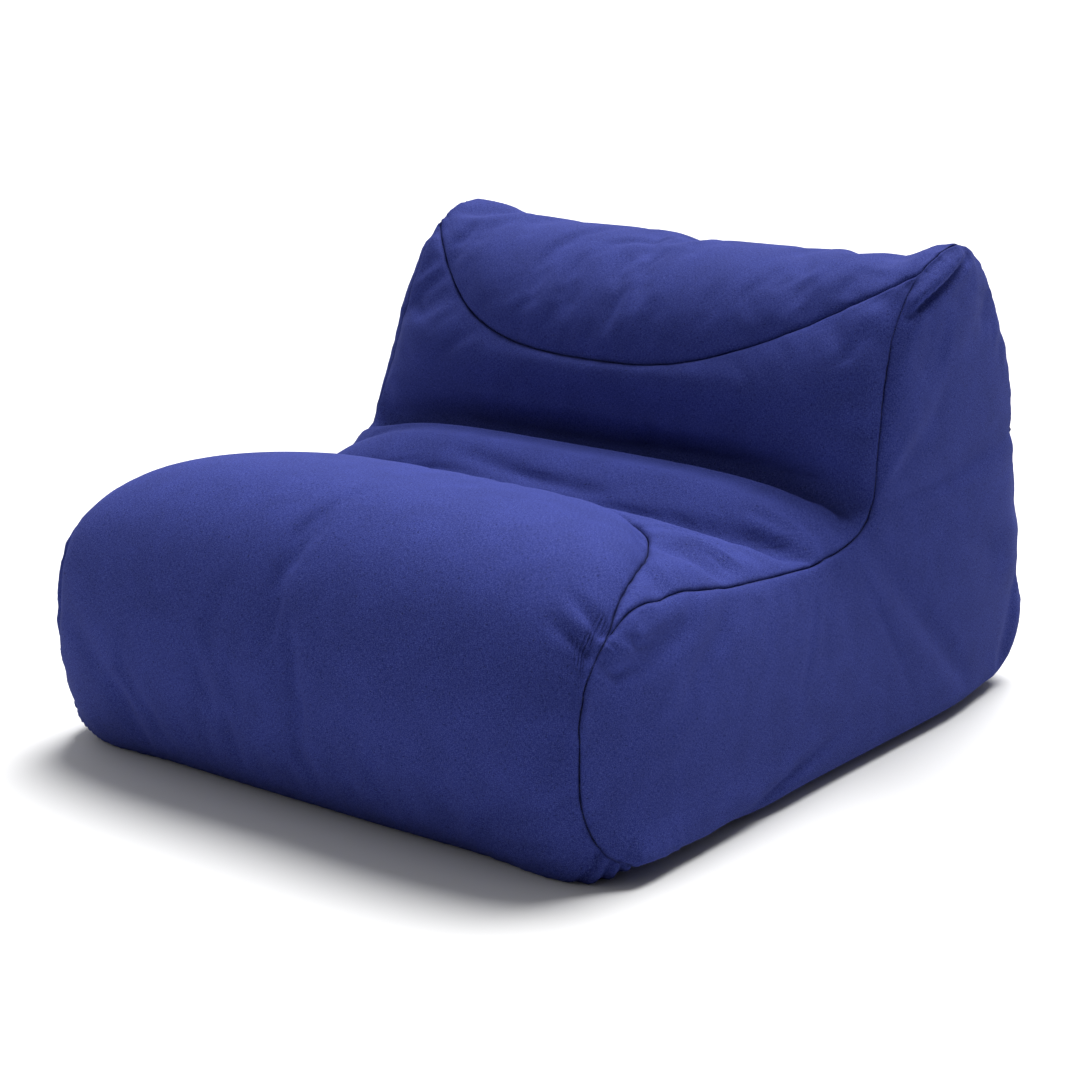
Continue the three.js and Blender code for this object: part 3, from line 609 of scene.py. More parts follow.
# Larger folds: the line along each, its half width, and how deep it is. A negative one is a ridge.
folds = [
    # the crease between the seat and the back rest
    (band_path((crease_fold, -0.97), (crease_fold + 0.006, -0.5), (crease_fold + 0.006, 0.5),
               (crease_fold, 0.985)), 0.012, 0.017),
    # folds in the seat, gathering towards the side seam
    (band_path((valley + 0.004, -0.25), (valley + 0.004, 0.35), (valley + 0.010, 0.74),
               (valley + 0.034, 0.985)), 0.016, 0.0085),
    (band_path((valley + 0.030, 0.74), (valley + 0.052, 0.985)), 0.0080, 0.0045),
    (band_path((valley + 0.064, 0.72), (valley + 0.072, 0.985)), 0.0070, 0.0065),
    (band_path((valley + 0.090, 0.80), (valley + 0.092, 0.985)), 0.0065, 0.0070),
    (band_path((valley - 0.024, 0.80), (valley - 0.004, 0.985)), 0.0065, 0.0080),
    (band_path((mid_seat + 0.020, 0.72), (mid_seat + 0.034, 0.93)), 0.0070, 0.0065),
    (band_path((mid_seat - 0.012, 0.80), (mid_seat + 0.010, 0.97)), 0.0070, 0.0065),
    (band_path((valley + 0.010, -0.45), (valley + 0.020, -0.985)), 0.010, 0.007),
    (band_path((valley + 0.060, -0.42), (valley + 0.036, -0.05), (valley + 0.030, 0.28)),
     0.014, 0.006),
    # gathers where the seat seam meets the side seam
    (band_path((0.372, 1.0), (0.377, 0.93), (0.388, 0.84)), 0.0080, 0.0080),
    (band_path((0.360, 1.0), (0.364, 0.90)), 0.0080, -0.0030),
    (band_path((0.340, 1.0), (0.345, 0.93), (0.356, 0.84)), 0.0080, 0.0075),
    (band_path((0.318, 1.0), (0.326, 0.90)), 0.0080, 0.0045),
    (side_path((0.066, 0.280), (0.092, 0.262), (0.120, 0.256)), 0.0075, 0.0050),
    (side_path((0.034, 0.246), (0.062, 0.234), (0.096, 0.232)), 0.0075, 0.0050),
    # pleats under the front corners
    *[(band_path((s, side), (s - 0.020, 0.94 * side), (s - 0.036, 0.88 * side)), 0.0046, 0.0120)
      for s in (0.030, 0.052, 0.074, 0.097, 0.121) for side in (-1, 1)],
    (band_path((0.150, 1.0), (0.118, 0.70)), 0.008, 0.0060),
    (band_path((0.190, 1.0), (0.150, 0.78)), 0.008, 0.0050),
    # soft folds down the front
    (band_path((0.300, 0.99), (0.235, 0.90), (0.185, 0.88)), 0.016, 0.0050),
    (band_path((0.275, -0.95), (0.200, -0.72), (0.140, -0.62)), 0.018, 0.0040),
    # soft folds from the side seam into the back rest
    (band_path((back_foot + 0.205, 0.97), (back_foot + 0.150, 0.86), (back_foot + 0.110, 0.88)),
     0.011, 0.0045),
    (band_path((back_foot + 0.130, 0.985), (back_foot + 0.080, 0.72)), 0.010, 0.0035),
    (band_path((back_foot + 0.165, -0.985), (back_foot + 0.110, -0.74)), 0.012, 0.0035),
    (band_path((crest - 0.085, -0.24), (crest - 0.020, -0.03)), 0.009, 0.0035),
    # the tuck at the top corner, with the cloth rolled beside it
    (side_path((0.648, 0.538), (0.662, 0.533), (0.678, 0.539), (0.697, 0.546), (0.724, 0.555),
               (0.768, 0.572), (0.790, 0.580)), 0.0052, 0.0170),
    (side_path((0.664, 0.550), (0.690, 0.560), (0.724, 0.573), (0.770, 0.588)), 0.0095, -0.0110),
    # the side sags over its lower edge
    (side_path((0.190, 0.006), (0.290, 0.020), (0.380, 0.042), (0.480, 0.058)), 0.009, 0.0080),
]

fold_rim = 0.45              # the cloth beside a fold is raised by this share of its depth
fold_rim_reach = 6.0


def fold_height(points):
    total = np.zeros(len(points))
    for path, width, depth in folds:
        best = np.full(len(points), 1e9)
        along = np.zeros(len(points))
        for i in range(len(path) - 1):
            a, b = path[i], path[i + 1]
            t = np.clip(((points - a) @ (b - a)) / ((b - a) @ (b - a)), 0, 1)
            away = np.linalg.norm(points - a - t[:, None] * (b - a), axis=1)
            along = np.where(away < best, (i + t) / (len(path) - 1), along)
            best = np.minimum(best, away)
        fade = np.sin(np.pi * np.clip(along, 0.02, 0.98)) ** 0.6
        near = (best / width) ** 2
        total -= depth * fade * (np.exp(-near) - fold_rim * np.exp(-near / fold_rim_reach))
    return total


seam_hold = np.array([0.0 if name in ("zip_top", "zip_bottom") else 0.5 if name == "head_rear" else 1.0
                      for name in seam_names])

flat_by_zip = 0.016          # the cover lies flat this far above and below the zip
flat_fade = 0.050
flat_start = 0.36            # and behind this place only
flat_run = 0.10


def by_zip(points):
    """0 at the rear zip, where the cover is held flat, to 1 away from it."""
    rise = np.clip((np.abs(points[:, 2] - zip_height) - flat_by_zip) / flat_fade, 0, 1)
    back = np.clip((points[:, 1] - flat_start) / flat_run, 0, 1)
    return 1 - smooth(back) * (1 - smooth(rise))


stitch_depth = 0.0052        # the sewn groove itself
stitch_reach = 0.0024
pull_depth = 0.0042          # and the cloth drawn in beside it
pull_reach = 0.018
gather_start = 0.003
gather_reach = 0.017
floor_clear = 0.0006


def as_sewn(points):
    """Where points of the plain shape end up: swollen, sewn down at seams, gathered and folded."""
    move, normal = carried(points)
    distance, which, along = nearest_seam(points)
    groove = stitch_depth * np.exp(-distance / stitch_reach)
    groove = -seam_hold[which] * (groove + pull_depth * np.exp(-distance / pull_reach))
    wave = np.array([gather_waves[k][min(int(s / seam_step), len(gather_waves[k]) - 1)]
                     for k, s in zip(which, along)])
    strength = np.ones(len(points))
    for place, reach, extra in gather_places:
        strength += extra * np.exp(-((points - np.array(place)) ** 2).sum(1) / reach**2)
    gathers = gather_height * strength * wave
    gathers *= (1 - np.exp(-distance / gather_start)) * np.exp(-distance / gather_reach)
    moved = move + normal * (groove + gathers + fold_height(points))[:, None]
    sewn = points + moved * by_zip(points)[:, None]
    sewn[:, 2] = np.maximum(sewn[:, 2], floor_clear)
    return sewn


# ---------------------------------------------------------------- cover panels
# Heavy cotton-look cloth, woven from mixed yarns. Each panel is cut on its own, sewn to its
# neighbours from the inside with no stitching to be seen, and blown tight by the filling.

fine_rows = [0.0, 0.0012, 0.0025, 0.0042, 0.0065, 0.0095, 0.013, 0.018]
panel_step = 0.0052
cover_thickness = 0.0012
base_thickness = 0.0007
facing_thickness = 0.0008
cover_columns = spaced(2 * seam_half_width, fine_rows, panel_step) / seam_half_width - 1


class Shade:
    """An output of a node: sums on it add Math nodes, and node() adds any other node."""

    def __init__(self, tree, socket=None):
        self.tree, self.socket = tree, socket

    def node(self, kind, settings=None, values=None):
        full = kind if kind.startswith(("Geometry", "Function", "Node")) else "ShaderNode" + kind
        made = self.tree.nodes.new(full)
        for name, value in (settings or {}).items():
            if name == "stops":
                for i, (place, colour) in enumerate(value):
                    stop = made.color_ramp.elements[i] if i < 2 else made.color_ramp.elements.new(place)
                    stop.position, stop.color = place, (*colour, 1)
            else:
                setattr(made, name, value)
        for name, value in (values or {}).items():
            sockets = [s for s in made.inputs if s.enabled and s.name == name]
            target = made.inputs[name] if isinstance(name, int) else sockets[0]
            if isinstance(value, Shade):
                self.tree.links.new(value.socket, target)
            else:
                target.default_value = value
        return {s.name: Shade(self.tree, s) for s in made.outputs if s.enabled}

    def sum(self, operation, a, b):
        return self.node("Math", {"operation": operation}, {0: a, 1: b})["Value"]

    def noise(self, place, scale, detail):
        return self.node("TexNoise", {}, {"Vector": place, "Scale": scale, "Detail": detail})["Fac"]

    def ramp(self, *stops):
        return self.node("ValToRGB", {"stops": stops}, {"Fac": self})["Color"]

    def span(self, low, high, to_low=0.0, to_high=1.0):
        return self.node("MapRange", {}, {"Value": self, "From Min": low, "From Max": high,
                                          "To Min": to_low, "To Max": to_high})["Result"]

    def bump(self, strength, distance, invert=False):
        return self.node("Bump", {"invert": invert}, {
            "Strength": strength, "Distance": distance, "Height": self})["Normal"]

    def __add__(self, other):
        return self.sum("ADD", self, other)

    def __sub__(self, other):
        return self.sum("SUBTRACT", self, other)

    def __mul__(self, other):
        return self.sum("MULTIPLY", self, other)

    __radd__, __rmul__ = __add__, __mul__


def new_material(name, colour, roughness, metallic=0.0):
    """A material with plain values set, its tree as a Shade, its main shader, and object places."""
    material = bpy.data.materials.new(name)
    material.use_nodes = True
    material.diffuse_color = (*colour, 1)
    shade = Shade(material.node_tree)
    shader = material.node_tree.nodes["Principled BSDF"]
    shader.inputs["Base Color"].default_value = (*colour, 1)
    shader.inputs["Roughness"].default_value = roughness
    shader.inputs["Metallic"].default_value = metallic
    return material, shade, shader, shade.node("TexCoord")["Object"]


def link(shader, name, value):
    value.tree.links.new(value.socket, shader.inputs[name])


def cover_cloth():
    """Yarns of three blues, spun unevenly, with dark slubs, on the panel's own UV map in metres, with a
    painted shadow darkening the colour along the seams.
    """
    material, shade, shader, object_place = new_material("cover_cloth", (0.028, 0.038, 0.187), 0.88)
    place = shade.node("UVMap", {"uv_map": "cloth"})["UV"]

    def yarns(along, across, detail, seed):
        scaled = shade.node("Mapping", {}, {
            "Vector": place, "Scale": (along, across, 1.0), "Location": (seed, seed * 1.7, 0.0)})["Vector"]
        return shade.node("TexNoise", {"noise_dimensions": "2D"}, {
            "Vector": scaled, "Scale": 1.0, "Detail": detail, "Roughness": 0.6})["Fac"]

    warp = yarns(1500.0, 240.0, 1.0, 3.1)
    weft = yarns(260.0, 1400.0, 1.0, 7.7)
    grain = yarns(1050.0, 1050.0, 1.0, 1.3)
    slub = yarns(620.0, 240.0, 0.0, 11.9)
    slub_across = yarns(230.0, 640.0, 0.0, 5.3)
    blues = (warp * 0.40 + weft * 0.35 + grain * 0.75).ramp(
        (0.52, (0.0095, 0.0150, 0.116)),
        (0.98, (0.0620, 0.0790, 0.280)),
        (0.68, (0.0212, 0.0302, 0.169)),
        (0.82, (0.0345, 0.0468, 0.211)),
    )
    dark = slub.span(0.76, 0.86) + slub_across.span(0.77, 0.86)
    with_slubs = shade.node("Mix", {"data_type": "RGBA"}, {
        "Factor": dark * 0.65, "A": blues, "B": (0.0095, 0.0130, 0.066, 1)})["Result"]
    mottle = shade.noise(object_place, 26.0, 3.0).span(0.3, 0.7, 0.93, 1.07)
    shades = shade.node("VectorMath", {"operation": "SCALE"}, {
        "Vector": with_slubs, "Scale": mottle})["Vector"]
    # Painted shadow in the seam grooves: the seam attribute mixes the colour towards a near black blue.
    seam = shade.node("Attribute", {"attribute_name": "seam"})["Fac"]
    sewn = shade.node("Mix", {"data_type": "RGBA"}, {
        "Factor": seam * 0.70, "A": shades, "B": (0.004, 0.006, 0.030, 1)})["Result"]
    link(shader, "Base Color", sewn)
    link(shader, "Roughness", 0.80 + grain * 0.16)
    link(shader, "Normal", (warp * 0.5 + weft * 0.5 + grain * 0.4).bump(0.35, 0.0008))
    shader.inputs["Sheen Weight"].default_value = 0.012
    shader.inputs["Sheen Roughness"].default_value = 0.45
    shader.inputs["Sheen Tint"].default_value = (0.45, 0.50, 0.85, 1)
    shader.inputs["Specular IOR Level"].default_value = 0.08
    return material


cover_material = cover_cloth()


# Painted shadow: the cover's colour is darkened along each sewn seam, standing in for the shade in its
# groove.
painted_seam_shadow_reach = 0.0013
painted_seam_shadow_top = 0.30        # the painted seam shadow weakens by half above this height
painted_seam_shadow_fade = 0.12


def mark_painted_seam_shadow(mesh, distance, height):
    """How near each vertex is to a seam, for the shadow painted along it; weaker up the back rest."""
    near = mesh.attributes.new("seam", "FLOAT", "POINT")
    share = 1 - 0.5 * np.clip((height - painted_seam_shadow_top) / painted_seam_shadow_fade, 0, 1)
    near.data.foreach_set("value", (share * np.exp(-distance / painted_seam_shadow_reach)).astype(np.float32))


def add_uv(mesh, flat):
    """The panel's own flat places, in metres, as its UV map."""
    layer = mesh.uv_layers.new(name="cloth")
    corners = np.zeros(len(mesh.loops), np.int64)
    mesh.loops.foreach_get("vertex_index", corners)
    layer.data.foreach_set("uv", flat[corners].astype(np.float32).ravel())


def add_object(name, mesh, material, wall, slot, *nodes):
    """An object of the chair's body with its material, wall and the nodes it replaces; its slot argument is
    not used.
    """
    made = new_object(name, mesh)
    if material:
        mesh.materials.clear()
        mesh.materials.append(material)
    if wall:
        solid = made.modifiers.new("cloth thickness", "SOLIDIFY")
        solid.thickness = wall
        solid.offset = -1
    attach(made, "chair")
    if nodes:
        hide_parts(*nodes)
    return made


band_nodes = {"front": "front_panel", "seat_back": "seat_back_panel", "head": "head_panel",
              "rear_upper": "rear_panel", "rear_lower": "rear_lower_panel"}
for name, start, end in band_panels:
    s, a = band_grid(start, end, cover_columns, fine_rows, panel_step)
    rest = band_points(s, a).reshape(-1, 3)
    mesh = new_mesh("cover_" + name, as_sewn(rest), grid_faces(*s.shape))
    add_uv(mesh, np.stack([(a * seam_half_width).ravel(), s.ravel()], 1))
    distance, which = nearest_seam(rest)[:2]
    mark_painted_seam_shadow(mesh, np.where(seam_hold[which] > 0, distance, 1.0), rest[:, 2])
    panel = add_object("cover_" + name, mesh, cover_material, cover_thickness, "cover_cloth",
                       band_nodes[name])

side_stations = []
for name, start, end in band_panels:
    side_stations.append(band_grid(start, end, np.array([1.0]), fine_rows, panel_step)[0][:, 0])
side_stations = np.unique(np.round(np.concatenate(side_stations), 7))
flat, faces, distance, border = side_mesh(side_stations, 110, fine_rows[1:], panel_step)
for side in (-1, 1):
    turned = faces if side > 0 else faces[:, ::-1]
    name = "cover_side_left" if side < 0 else "cover_side_right"
    mesh = new_mesh(name, as_sewn(side_points(flat, distance, side)), turned)
    add_uv(mesh, flat * np.array([side, 1.0]))
    mark_painted_seam_shadow(mesh, distance, flat[:, 1])
    node = "left_side_panel" if side < 0 else "right_side_panel"
    panel = add_object(name, mesh, cover_material, cover_thickness, "cover_cloth", node)

# ---------------------------------------------------------------- base cloth
# Dark, coated cloth under the chair, sewn all round to the cover's lower edge. It lies flat on the
# floor under the weight of the filling.


def base_cloth():
    material, shade, shader, place = new_material("base_cloth", (0.035, 0.037, 0.052), 0.8)
    grain = shade.noise(place, 900.0, 2.0)
    link(shader, "Base Color", grain.ramp((0.3, (0.024, 0.025, 0.036)), (0.7, (0.050, 0.052, 0.070))))
    link(shader, "Normal", grain.bump(0.3, 0.0005))
    return material


base_rows = 110
base_points = as_sewn(base_grid(base_rows, cover_columns).reshape(-1, 3))
base_mesh = new_mesh("cover_base", base_points, grid_faces(base_rows + 1, len(cover_columns)))
add_uv(base_mesh, base_points[:, :2])
base = add_object("cover_base", base_mesh, base_cloth(), base_thickness, "base_cloth", "base_panel")
base_width = base_points[:, 0].max() - base_points[:, 0].min()
base_length = base_points[:, 1].max() - base_points[:, 1].min()

# ---------------------------------------------------------------- rear zip
# A nylon coil zip across the rear, through which the inner bags go in and out. Its woven tapes are
# stitched under the hemmed edges of the rear panels, and a strip of cover cloth lies behind it.


def woven_tape(name, dark, light):
    material, shade, shader, place = new_material(name, light, 0.75)
    ribs = shade.node("TexWave", {"bands_direction": "Z"}, {
        "Vector": place, "Scale": 260.0, "Distortion": 0.6, "Detail": 1.0})["Fac"]
    tone = ribs * 0.5 + shade.noise(place, 1400.0, 1.0) * 0.5
    link(shader, "Base Color", tone.ramp((0.25, dark), (0.75, light)))
    link(shader, "Normal", tone.bump(0.4, 0.0003))
    return material


def nylon(name, colour):
    material, shade, shader, place = new_material(name, colour, 0.38)
    cloud = shade.noise(place, 320.0, 2.0)
    darker = tuple(0.7 * part for part in colour)
    link(shader, "Roughness", 0.30 + cloud * 0.18)
    link(shader, "Base Color", cloud.ramp((0.3, darker), (0.7, colour)))
    return material


def dull_nickel():
    """Tumbled die-cast metal: softly brushed, a little darker where hands rub it."""
    material, shade, shader, place = new_material("dull_nickel", (0.46, 0.47, 0.49), 0.34, 1.0)
    brushed = shade.node("Mapping", {}, {"Vector": place, "Scale": (500.0, 3800.0, 3800.0)})["Vector"]
    grain = shade.noise(brushed, 1.0, 3.0)
    wear = shade.noise(place, 240.0, 2.0)
    link(shader, "Base Color", wear.ramp((0.35, (0.30, 0.31, 0.33)), (0.65, (0.54, 0.55, 0.57))))
    link(shader, "Roughness", 0.24 + grain * 0.20)
    link(shader, "Normal", grain.bump(0.15, 0.0001))
    return material


tape_material = woven_tape("zip_tape_blue", (0.012, 0.015, 0.062), (0.030, 0.038, 0.140))
coil_material = nylon("zip_coil_blue", (0.022, 0.028, 0.105))
metal_material = dull_nickel()
thread_material = nylon("sewing_thread", (0.030, 0.040, 0.155))


def finish_node(material, *nodes):
    for node in nodes:
        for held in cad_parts[node].material_slots:
            held.material = material


finish_node(tape_material, "zip_tape_upper", "zip_tape_lower")
finish_node(metal_material, "zip_slider", "zip_pull", "zip_stop_left", "zip_stop_right")


def row_tree(name, is_loop):
    """Nodes that set a loop of coil, or a stitch, at an even pitch along the lines they are given."""
    tree = bpy.data.node_groups.new(name, "GeometryNodeTree")
    for label, kind in (("Lines", "Geometry"), ("Pitch", "Float"), ("Length", "Float"), ("Height", "Float"),
                        ("Width", "Float"), ("Thread", "Float"), ("Material", "Material")):
        tree.interface.new_socket(label, in_out="INPUT", socket_type="NodeSocket" + kind)
    tree.interface.new_socket("Row", in_out="OUTPUT", socket_type="NodeSocketGeometry")
    row = Shade(tree)
    given = row.node("NodeGroupInput")
    line = row.node("GeometryNodeMeshToCurve", {}, {"Mesh": given["Lines"]})["Curve"]
    even = row.node("GeometryNodeResampleCurve", {"mode": "LENGTH"}, {
        "Curve": line, "Length": given["Pitch"]})["Curve"]
    size = row.node("CombineXYZ", {}, {
        "X": given["Length"], "Y": given["Height"], "Z": given["Width"]})["Vector"]
    if is_loop:
        ring = row.node("GeometryNodeCurvePrimitiveCircle", {}, {"Resolution": 12, "Radius": 0.5})
        upright = row.node("GeometryNodeTransform", {}, {
            "Geometry": ring["Curve"], "Rotation": (0, math.pi / 2, 0)})
        oval = row.node("GeometryNodeTransform", {}, {"Geometry": upright["Geometry"], "Scale": size})
        round_thread = row.node("GeometryNodeCurvePrimitiveCircle", {}, {
            "Resolution": 5, "Radius": given["Thread"]})
        unit = row.node("GeometryNodeCurveToMesh", {}, {
            "Curve": oval["Geometry"], "Profile Curve": round_thread["Curve"]})["Mesh"]
    else:
        bead = row.node("GeometryNodeMeshUVSphere", {}, {
            "Segments": 8, "Rings": 5, "Radius": 0.5})["Mesh"]
        unit = row.node("GeometryNodeTransform", {}, {"Geometry": bead, "Scale": size})["Geometry"]
    along = row.node("GeometryNodeInputTangent")["Tangent"]
    turn = row.node("FunctionNodeAlignRotationToVector", {"axis": "X"}, {"Vector": along})["Rotation"]
    placed = row.node("GeometryNodeInstanceOnPoints", {}, {
        "Points": even, "Instance": unit, "Rotation": turn})["Instances"]
    solid = row.node("GeometryNodeRealizeInstances", {}, {"Geometry": placed})["Geometry"]
    shown = row.node("GeometryNodeSetMaterial", {}, {
        "Geometry": solid, "Material": given["Material"]})["Geometry"]
    row.node("NodeGroupOutput", {}, {"Row": shown})
    return tree


loop_tree = row_tree("row_of_coil_loops", True)
stitch_tree = row_tree("row_of_stitches", False)


def add_row(name, tree, lines, sizes, material, slot, *nodes):
    """A plain mesh of the row that a tree makes along some lines of points."""
    points = np.vstack(lines)
    edges, first = [], 0
    for line in lines:
        edges += [(first + i, first + i + 1) for i in range(len(line) - 1)]
        first += len(line)
    path = bpy.data.meshes.new(name + "_lines")
    path.from_pydata(points.tolist(), edges, [])
    maker = new_object(name + "_lines", path)
    modifier = maker.modifiers.new("row", "NODES")
    modifier.node_group = tree
    for item in tree.interface.items_tree:
        if item.in_out == "INPUT" and item.name in sizes:
            modifier[item.identifier] = sizes[item.name]
        if item.in_out == "INPUT" and item.name == "Material":
            modifier[item.identifier] = material
    evaluated = maker.evaluated_get(bpy.context.evaluated_depsgraph_get())
    mesh = bpy.data.meshes.new_from_object(evaluated)
    bpy.data.objects.remove(maker)
    mesh.name = name
    turned = bmesh.new()
    turned.from_mesh(mesh)
    bmesh.ops.remove_doubles(turned, verts=turned.verts, dist=1e-6)
    bmesh.ops.recalc_face_normals(turned, faces=turned.faces)
    turned.to_mesh(mesh)
    turned.free()
    add_object(name, smoothed(mesh), None, 0.0, slot, *nodes)


coil_pitch = 0.0024
coil_thread = 0.00042


def add_coil(name, node, halves, material, slot):
    """Rows of coil loops in the space of a CAD coil; its halves are interlocked in the middle."""
    low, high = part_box(node)
    middle_y = (low.y + high.y) / 2
    depth = high.z - low.z
    lines = []
    for half in range(halves):
        z = low.z + depth * (half + 0.5) / halves
        shift = coil_pitch * (0.5 * half + 0.25)
        lines.append([(low.x + shift, middle_y, z), (high.x - coil_pitch + shift, middle_y, z)])
    sizes = {"Pitch": coil_pitch, "Length": 1.0, "Height": high.y - low.y - 2 * coil_thread,
             "Width": depth / halves - 0.6 * coil_thread, "Thread": coil_thread}
    add_row(name, loop_tree, lines, sizes, material, slot, node)


add_coil("zip_teeth_upper", "zip_coil_upper", 1, coil_material, "zip_coil")
add_coil("zip_teeth_lower", "zip_coil_lower", 1, coil_material, "zip_coil")

hem_inset = 0.006
stitch_sizes = {"Pitch": 0.0034, "Length": 0.0027, "Height": 0.0006, "Width": 0.0006}
hem_across = np.linspace(-0.985, 0.985, 400)
hem_lines = []
for station in (zip_top_edge - hem_inset, zip_bottom_edge + hem_inset):
    line = as_sewn(band_points(np.full_like(hem_across, station), hem_across))
    hem_lines.append(line + np.array([0.0, 0.00015, 0.0]))
add_row("zip_hem_stitches", stitch_tree, hem_lines, stitch_sizes, thread_material, "cover_cloth")

facing_gap = 0.0004          # behind the tapes
facing_inset = 0.0015        # inside the side seams
facing_sag = 0.0012
facing_waves = 210
facing_rows, facing_columns = 13, 121
facing_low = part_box("zip_tape_lower")[0]
facing_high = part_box("zip_tape_upper")[1]
facing_x, facing_z = np.meshgrid(
    np.linspace(-1, 1, facing_columns) * (seam_half_width - facing_inset),
    np.linspace(facing_low.z, facing_high.z, facing_rows))
facing_y = facing_low.y - facing_gap - facing_sag * (1 - np.cos(facing_z * facing_waves)) / 2
facing_points = np.stack([facing_x, facing_y, facing_z], -1).reshape(-1, 3)
facing_faces = grid_faces(facing_rows, facing_columns)[:, ::-1]
facing_mesh = new_mesh("zip_facing", facing_points, facing_faces)
add_uv(facing_mesh, facing_points[:, [0, 2]])
facing = add_object("zip_facing", facing_mesh, cover_material, facing_thickness, "cover_cloth")

# ---------------------------------------------------------------- inner bags and their filling
# Two bags of thin, close lining cloth, one in the seat and one in the back, filled with light foam
# beads. Each has a plain safety zip with no pull, sewn into the wall between the bags.

bag_step = 0.010
bag_clear = 0.014
fill_clear = 0.0175
bag_thickness = 0.0007
rumple_depth = 0.004
zip_margin = 0.006           # the wall stays even this far round its zip
zip_fade = 0.030
edge_inset = 0.003
rumple_random = np.random.default_rng(7)
rumple_waves = [(rumple_random.normal(size=3), rumple_random.uniform(0.05, 0.15),
                 rumple_random.uniform(0, 6.28)) for i in range(9)]


def rumple(points):
    """Soft unevenness between 0 and 1."""
    total = np.zeros(len(points))
    for direction, length, start in rumple_waves:
        direction = direction / np.linalg.norm(direction)
        total += np.sin(points @ direction * 6.2832 / length + start)
    return np.clip(0.5 + total / (2.2 * len(rumple_waves) ** 0.5), 0, 1)


moved_skin_tree = bvhtree.BVHTree.FromPolygons(
    flat_skin_points.tolist(), [tuple(p.vertices) for p in flat_skin.polygons])


def bag_surface(node, clear, zip_node):
    """The outside of a CAD bag or filling, remeshed evenly, kept inside the cover and rumpled."""
    whole = bmesh.new()
    whole.from_mesh(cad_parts[node].data)
    bmesh.ops.remove_doubles(whole, verts=whole.verts, dist=1e-5)
    start = max(whole.verts, key=lambda v: v.co.z)
    outside, border = {start}, [start]
    while border:
        for edge in border.pop().link_edges:
            for vert in edge.verts:
                if vert not in outside:
                    outside.add(vert)
                    border.append(vert)
    bmesh.ops.delete(whole, geom=[v for v in whole.verts if v not in outside], context="VERTS")
    rough = bpy.data.meshes.new(node + "_rough")
    whole.to_mesh(rough)
    whole.free()
    holder = new_object(node + "_rough", rough)
    remesh = holder.modifiers.new("even", "REMESH")
    remesh.mode = "VOXEL"
    remesh.voxel_size = bag_step
    mesh = bpy.data.meshes.new_from_object(holder.evaluated_get(bpy.context.evaluated_depsgraph_get()))
    bpy.data.objects.remove(holder)
    softened = bmesh.new()
    softened.from_mesh(mesh)
    for i in range(4):
        bmesh.ops.smooth_vert(softened, verts=softened.verts, factor=0.5,
                              use_axis_x=True, use_axis_y=True, use_axis_z=True)
    softened.normal_update()
    softened.to_mesh(mesh)
    softened.free()
    points = vertex_array(mesh)
    normals_out = np.array([tuple(v.normal) for v in mesh.vertices])
    low, high = (np.array(corner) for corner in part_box(zip_node))
    from_zip = np.linalg.norm(points - np.clip(points, low, high), axis=1)
    away = np.clip((from_zip - zip_margin) / zip_fade, 0, 1)
    points -= normals_out * (rumple_depth * rumple(points) * away)[:, None]
    for i, point in enumerate(points):
        place, outward = moved_skin_tree.find_nearest(Vector(point))[:2]
        outside_by = (Vector(point) - place).dot(outward) + clear
        if outside_by > 0:
            points[i] -= np.array(outward) * outside_by
    mesh.vertices.foreach_set("co", points.astype(np.float32).ravel())
    return smoothed(mesh)


def lining_cloth():
    material, shade, shader, place = new_material("lining_cloth", (0.62, 0.60, 0.55), 0.85)
    creases = shade.node("TexNoise", {}, {
        "Vector": place, "Scale": 24.0, "Detail": 4.0, "Distortion": 1.2})["Fac"]
    # Painted shade: the colour follows the crease bump and is darker in its hollows, with a random fine
    # tone mixed in.
    tone = shade.noise(place, 1100.0, 2.0) * 0.4 + creases * 0.6
    link(shader, "Base Color", tone.ramp((0.3, (0.52, 0.50, 0.45)), (0.7, (0.70, 0.68, 0.62))))
    link(shader, "Normal", tone.bump(0.4, 0.0015))
    return material


def foam_beads():
    material, shade, shader, place = new_material("foam_beads", (0.86, 0.86, 0.84), 0.6)
    beads = shade.node("TexVoronoi", {}, {"Vector": place, "Scale": 230.0})["Distance"]
    # Painted shade: each bead's colour darkens from its raised middle towards the gaps between beads.
    link(shader, "Base Color", beads.ramp((0.25, (0.90, 0.90, 0.88)), (0.75, (0.60, 0.60, 0.58))))
    link(shader, "Normal", beads.bump(0.9, 0.002, invert=True))
    return material


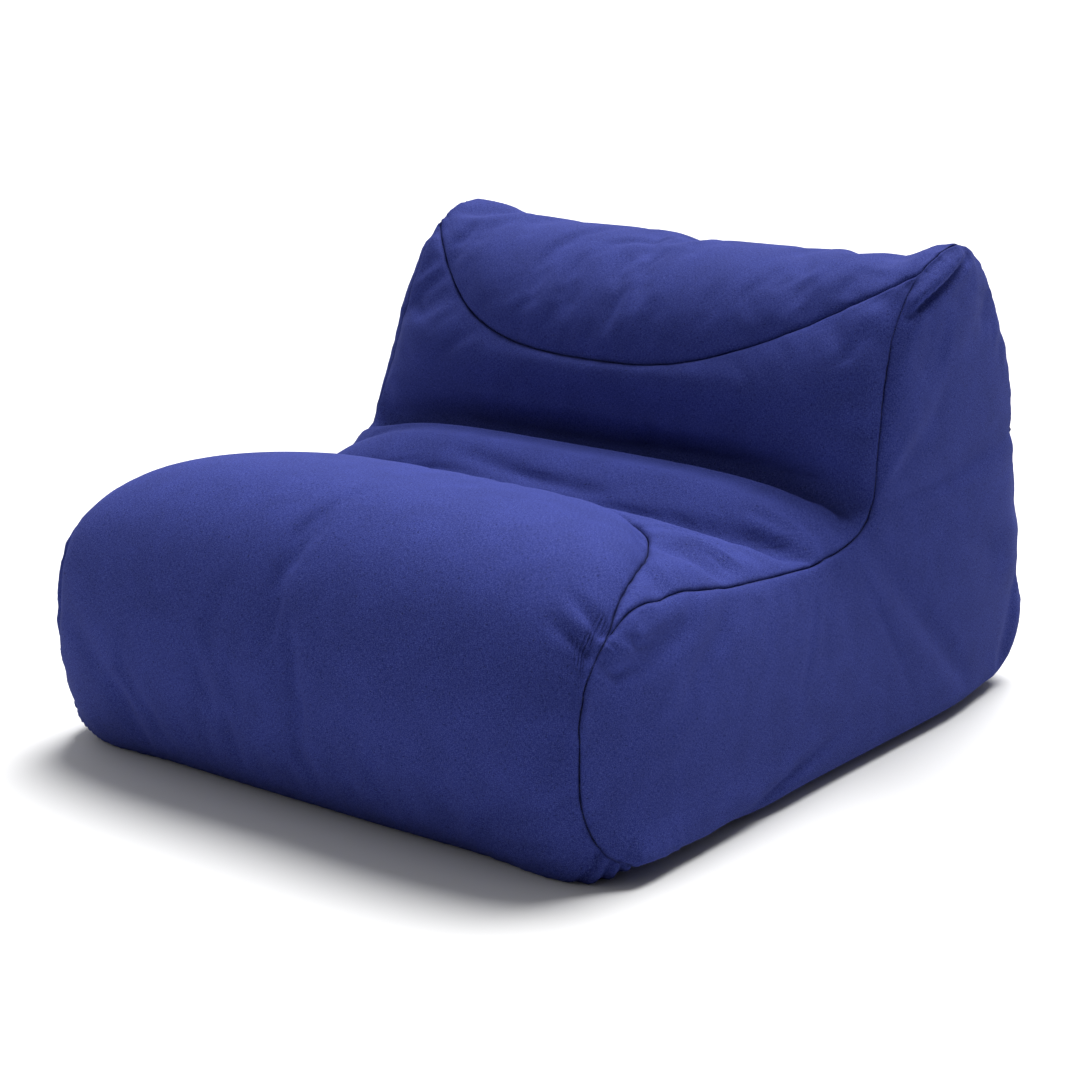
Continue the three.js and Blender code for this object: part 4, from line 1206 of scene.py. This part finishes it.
bag_material = lining_cloth()
bead_material = foam_beads()
bag_tape_material = woven_tape("bag_zip_tape_white", (0.50, 0.49, 0.46), (0.70, 0.69, 0.66))
bag_coil_material = nylon("bag_zip_coil_white", (0.72, 0.71, 0.68))
for part in ("seat", "back"):
    zip_node = part + "_bag_zip_tape"
    bag_mesh = bag_surface(part + "_bag", bag_clear, zip_node)
    bag = add_object(part + "_inner_bag", bag_mesh, bag_material, bag_thickness, "bag_cloth", part + "_bag")
    fill_mesh = bag_surface(part + "_fill", fill_clear, zip_node)
    filling = add_object(part + "_bead_filling", fill_mesh, bead_material, 0.0, "bead_filling",
                         part + "_fill")
    finish_node(bag_tape_material, zip_node)
    finish_node(metal_material, part + "_bag_zip_slider")
    add_coil(part + "_bag_zip_teeth", part + "_bag_zip_coil", 2, bag_coil_material, "bag_zip")
    low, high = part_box(zip_node)
    outer_y = high.y if part == "seat" else low.y
    edge_lines = [[(low.x + edge_inset, outer_y, z), (high.x - edge_inset, outer_y, z)]
                  for z in (low.z + edge_inset, high.z - edge_inset)]
    add_row(part + "_bag_zip_stitches", stitch_tree, edge_lines, stitch_sizes, bag_coil_material,
            "bag_zip")

# ---------------------------------------------------------------- floor, light and camera
# A white studio floor that runs out past the camera's view, one broad soft light from above and
# behind, and a white surround, brighter to the left and darker to the front right.
floor_size = 70.0
floor_corners = floor_size * np.array([(-1, -1, 0), (1, -1, 0), (1, 1, 0), (-1, 1, 0)])
floor = new_object("studio_floor", new_mesh("studio_floor", floor_corners, [(0, 1, 2, 3)]))
floor.data.materials.append(new_material("studio_floor", (0.68, 0.68, 0.68), 0.9)[0])

camera = new_object("camera", bpy.data.cameras.new("camera"))
camera_azimuth = math.radians(37.873)
camera_pitch = math.radians(15.257)
look = Vector((-math.sin(camera_azimuth) * math.cos(camera_pitch),
               math.cos(camera_azimuth) * math.cos(camera_pitch), -math.sin(camera_pitch)))
camera.rotation_mode = "QUATERNION"
camera.rotation_quaternion = look.to_track_quat("-Z", "Y")
camera.location = (1.940, -2.5236, 1.0932)
camera.data.lens = 86.37
camera.data.sensor_width = 36.0
bpy.context.scene.camera = camera

world = bpy.data.worlds.new("studio")
world.use_nodes = True
sky = Shade(world.node_tree)
background = world.node_tree.nodes["Background"]
background.inputs["Color"].default_value = (1, 1, 1, 1)


def towards(direction):
    """How far the surround's direction points this way, 0 to 1."""
    shared = sky.node("VectorMath", {"operation": "DOT_PRODUCT"}, {
        0: sky.node("TexCoord")["Generated"], 1: direction})["Value"]
    return sky.node("Math", {"operation": "MAXIMUM"}, {0: shared, 1: 0.0})["Value"]


brightness = towards((-0.97, 0.12, 0.20)) * 0.55 + 0.34 - towards((0.80, -0.60, 0.0)) * 0.34
world.node_tree.links.new(brightness.socket, background.inputs["Strength"])
bpy.context.scene.world = world
bpy.context.scene.view_settings.view_transform = "Standard"

softbox = bpy.data.lights.new("softbox", "SUN")
softbox.energy = 6.2
softbox.angle = math.radians(40)
lamp = new_object("softbox", softbox)
lamp.rotation_mode = "QUATERNION"
lamp.rotation_quaternion = Vector((0.08, -0.55, -1.0)).to_track_quat("-Z", "Y")
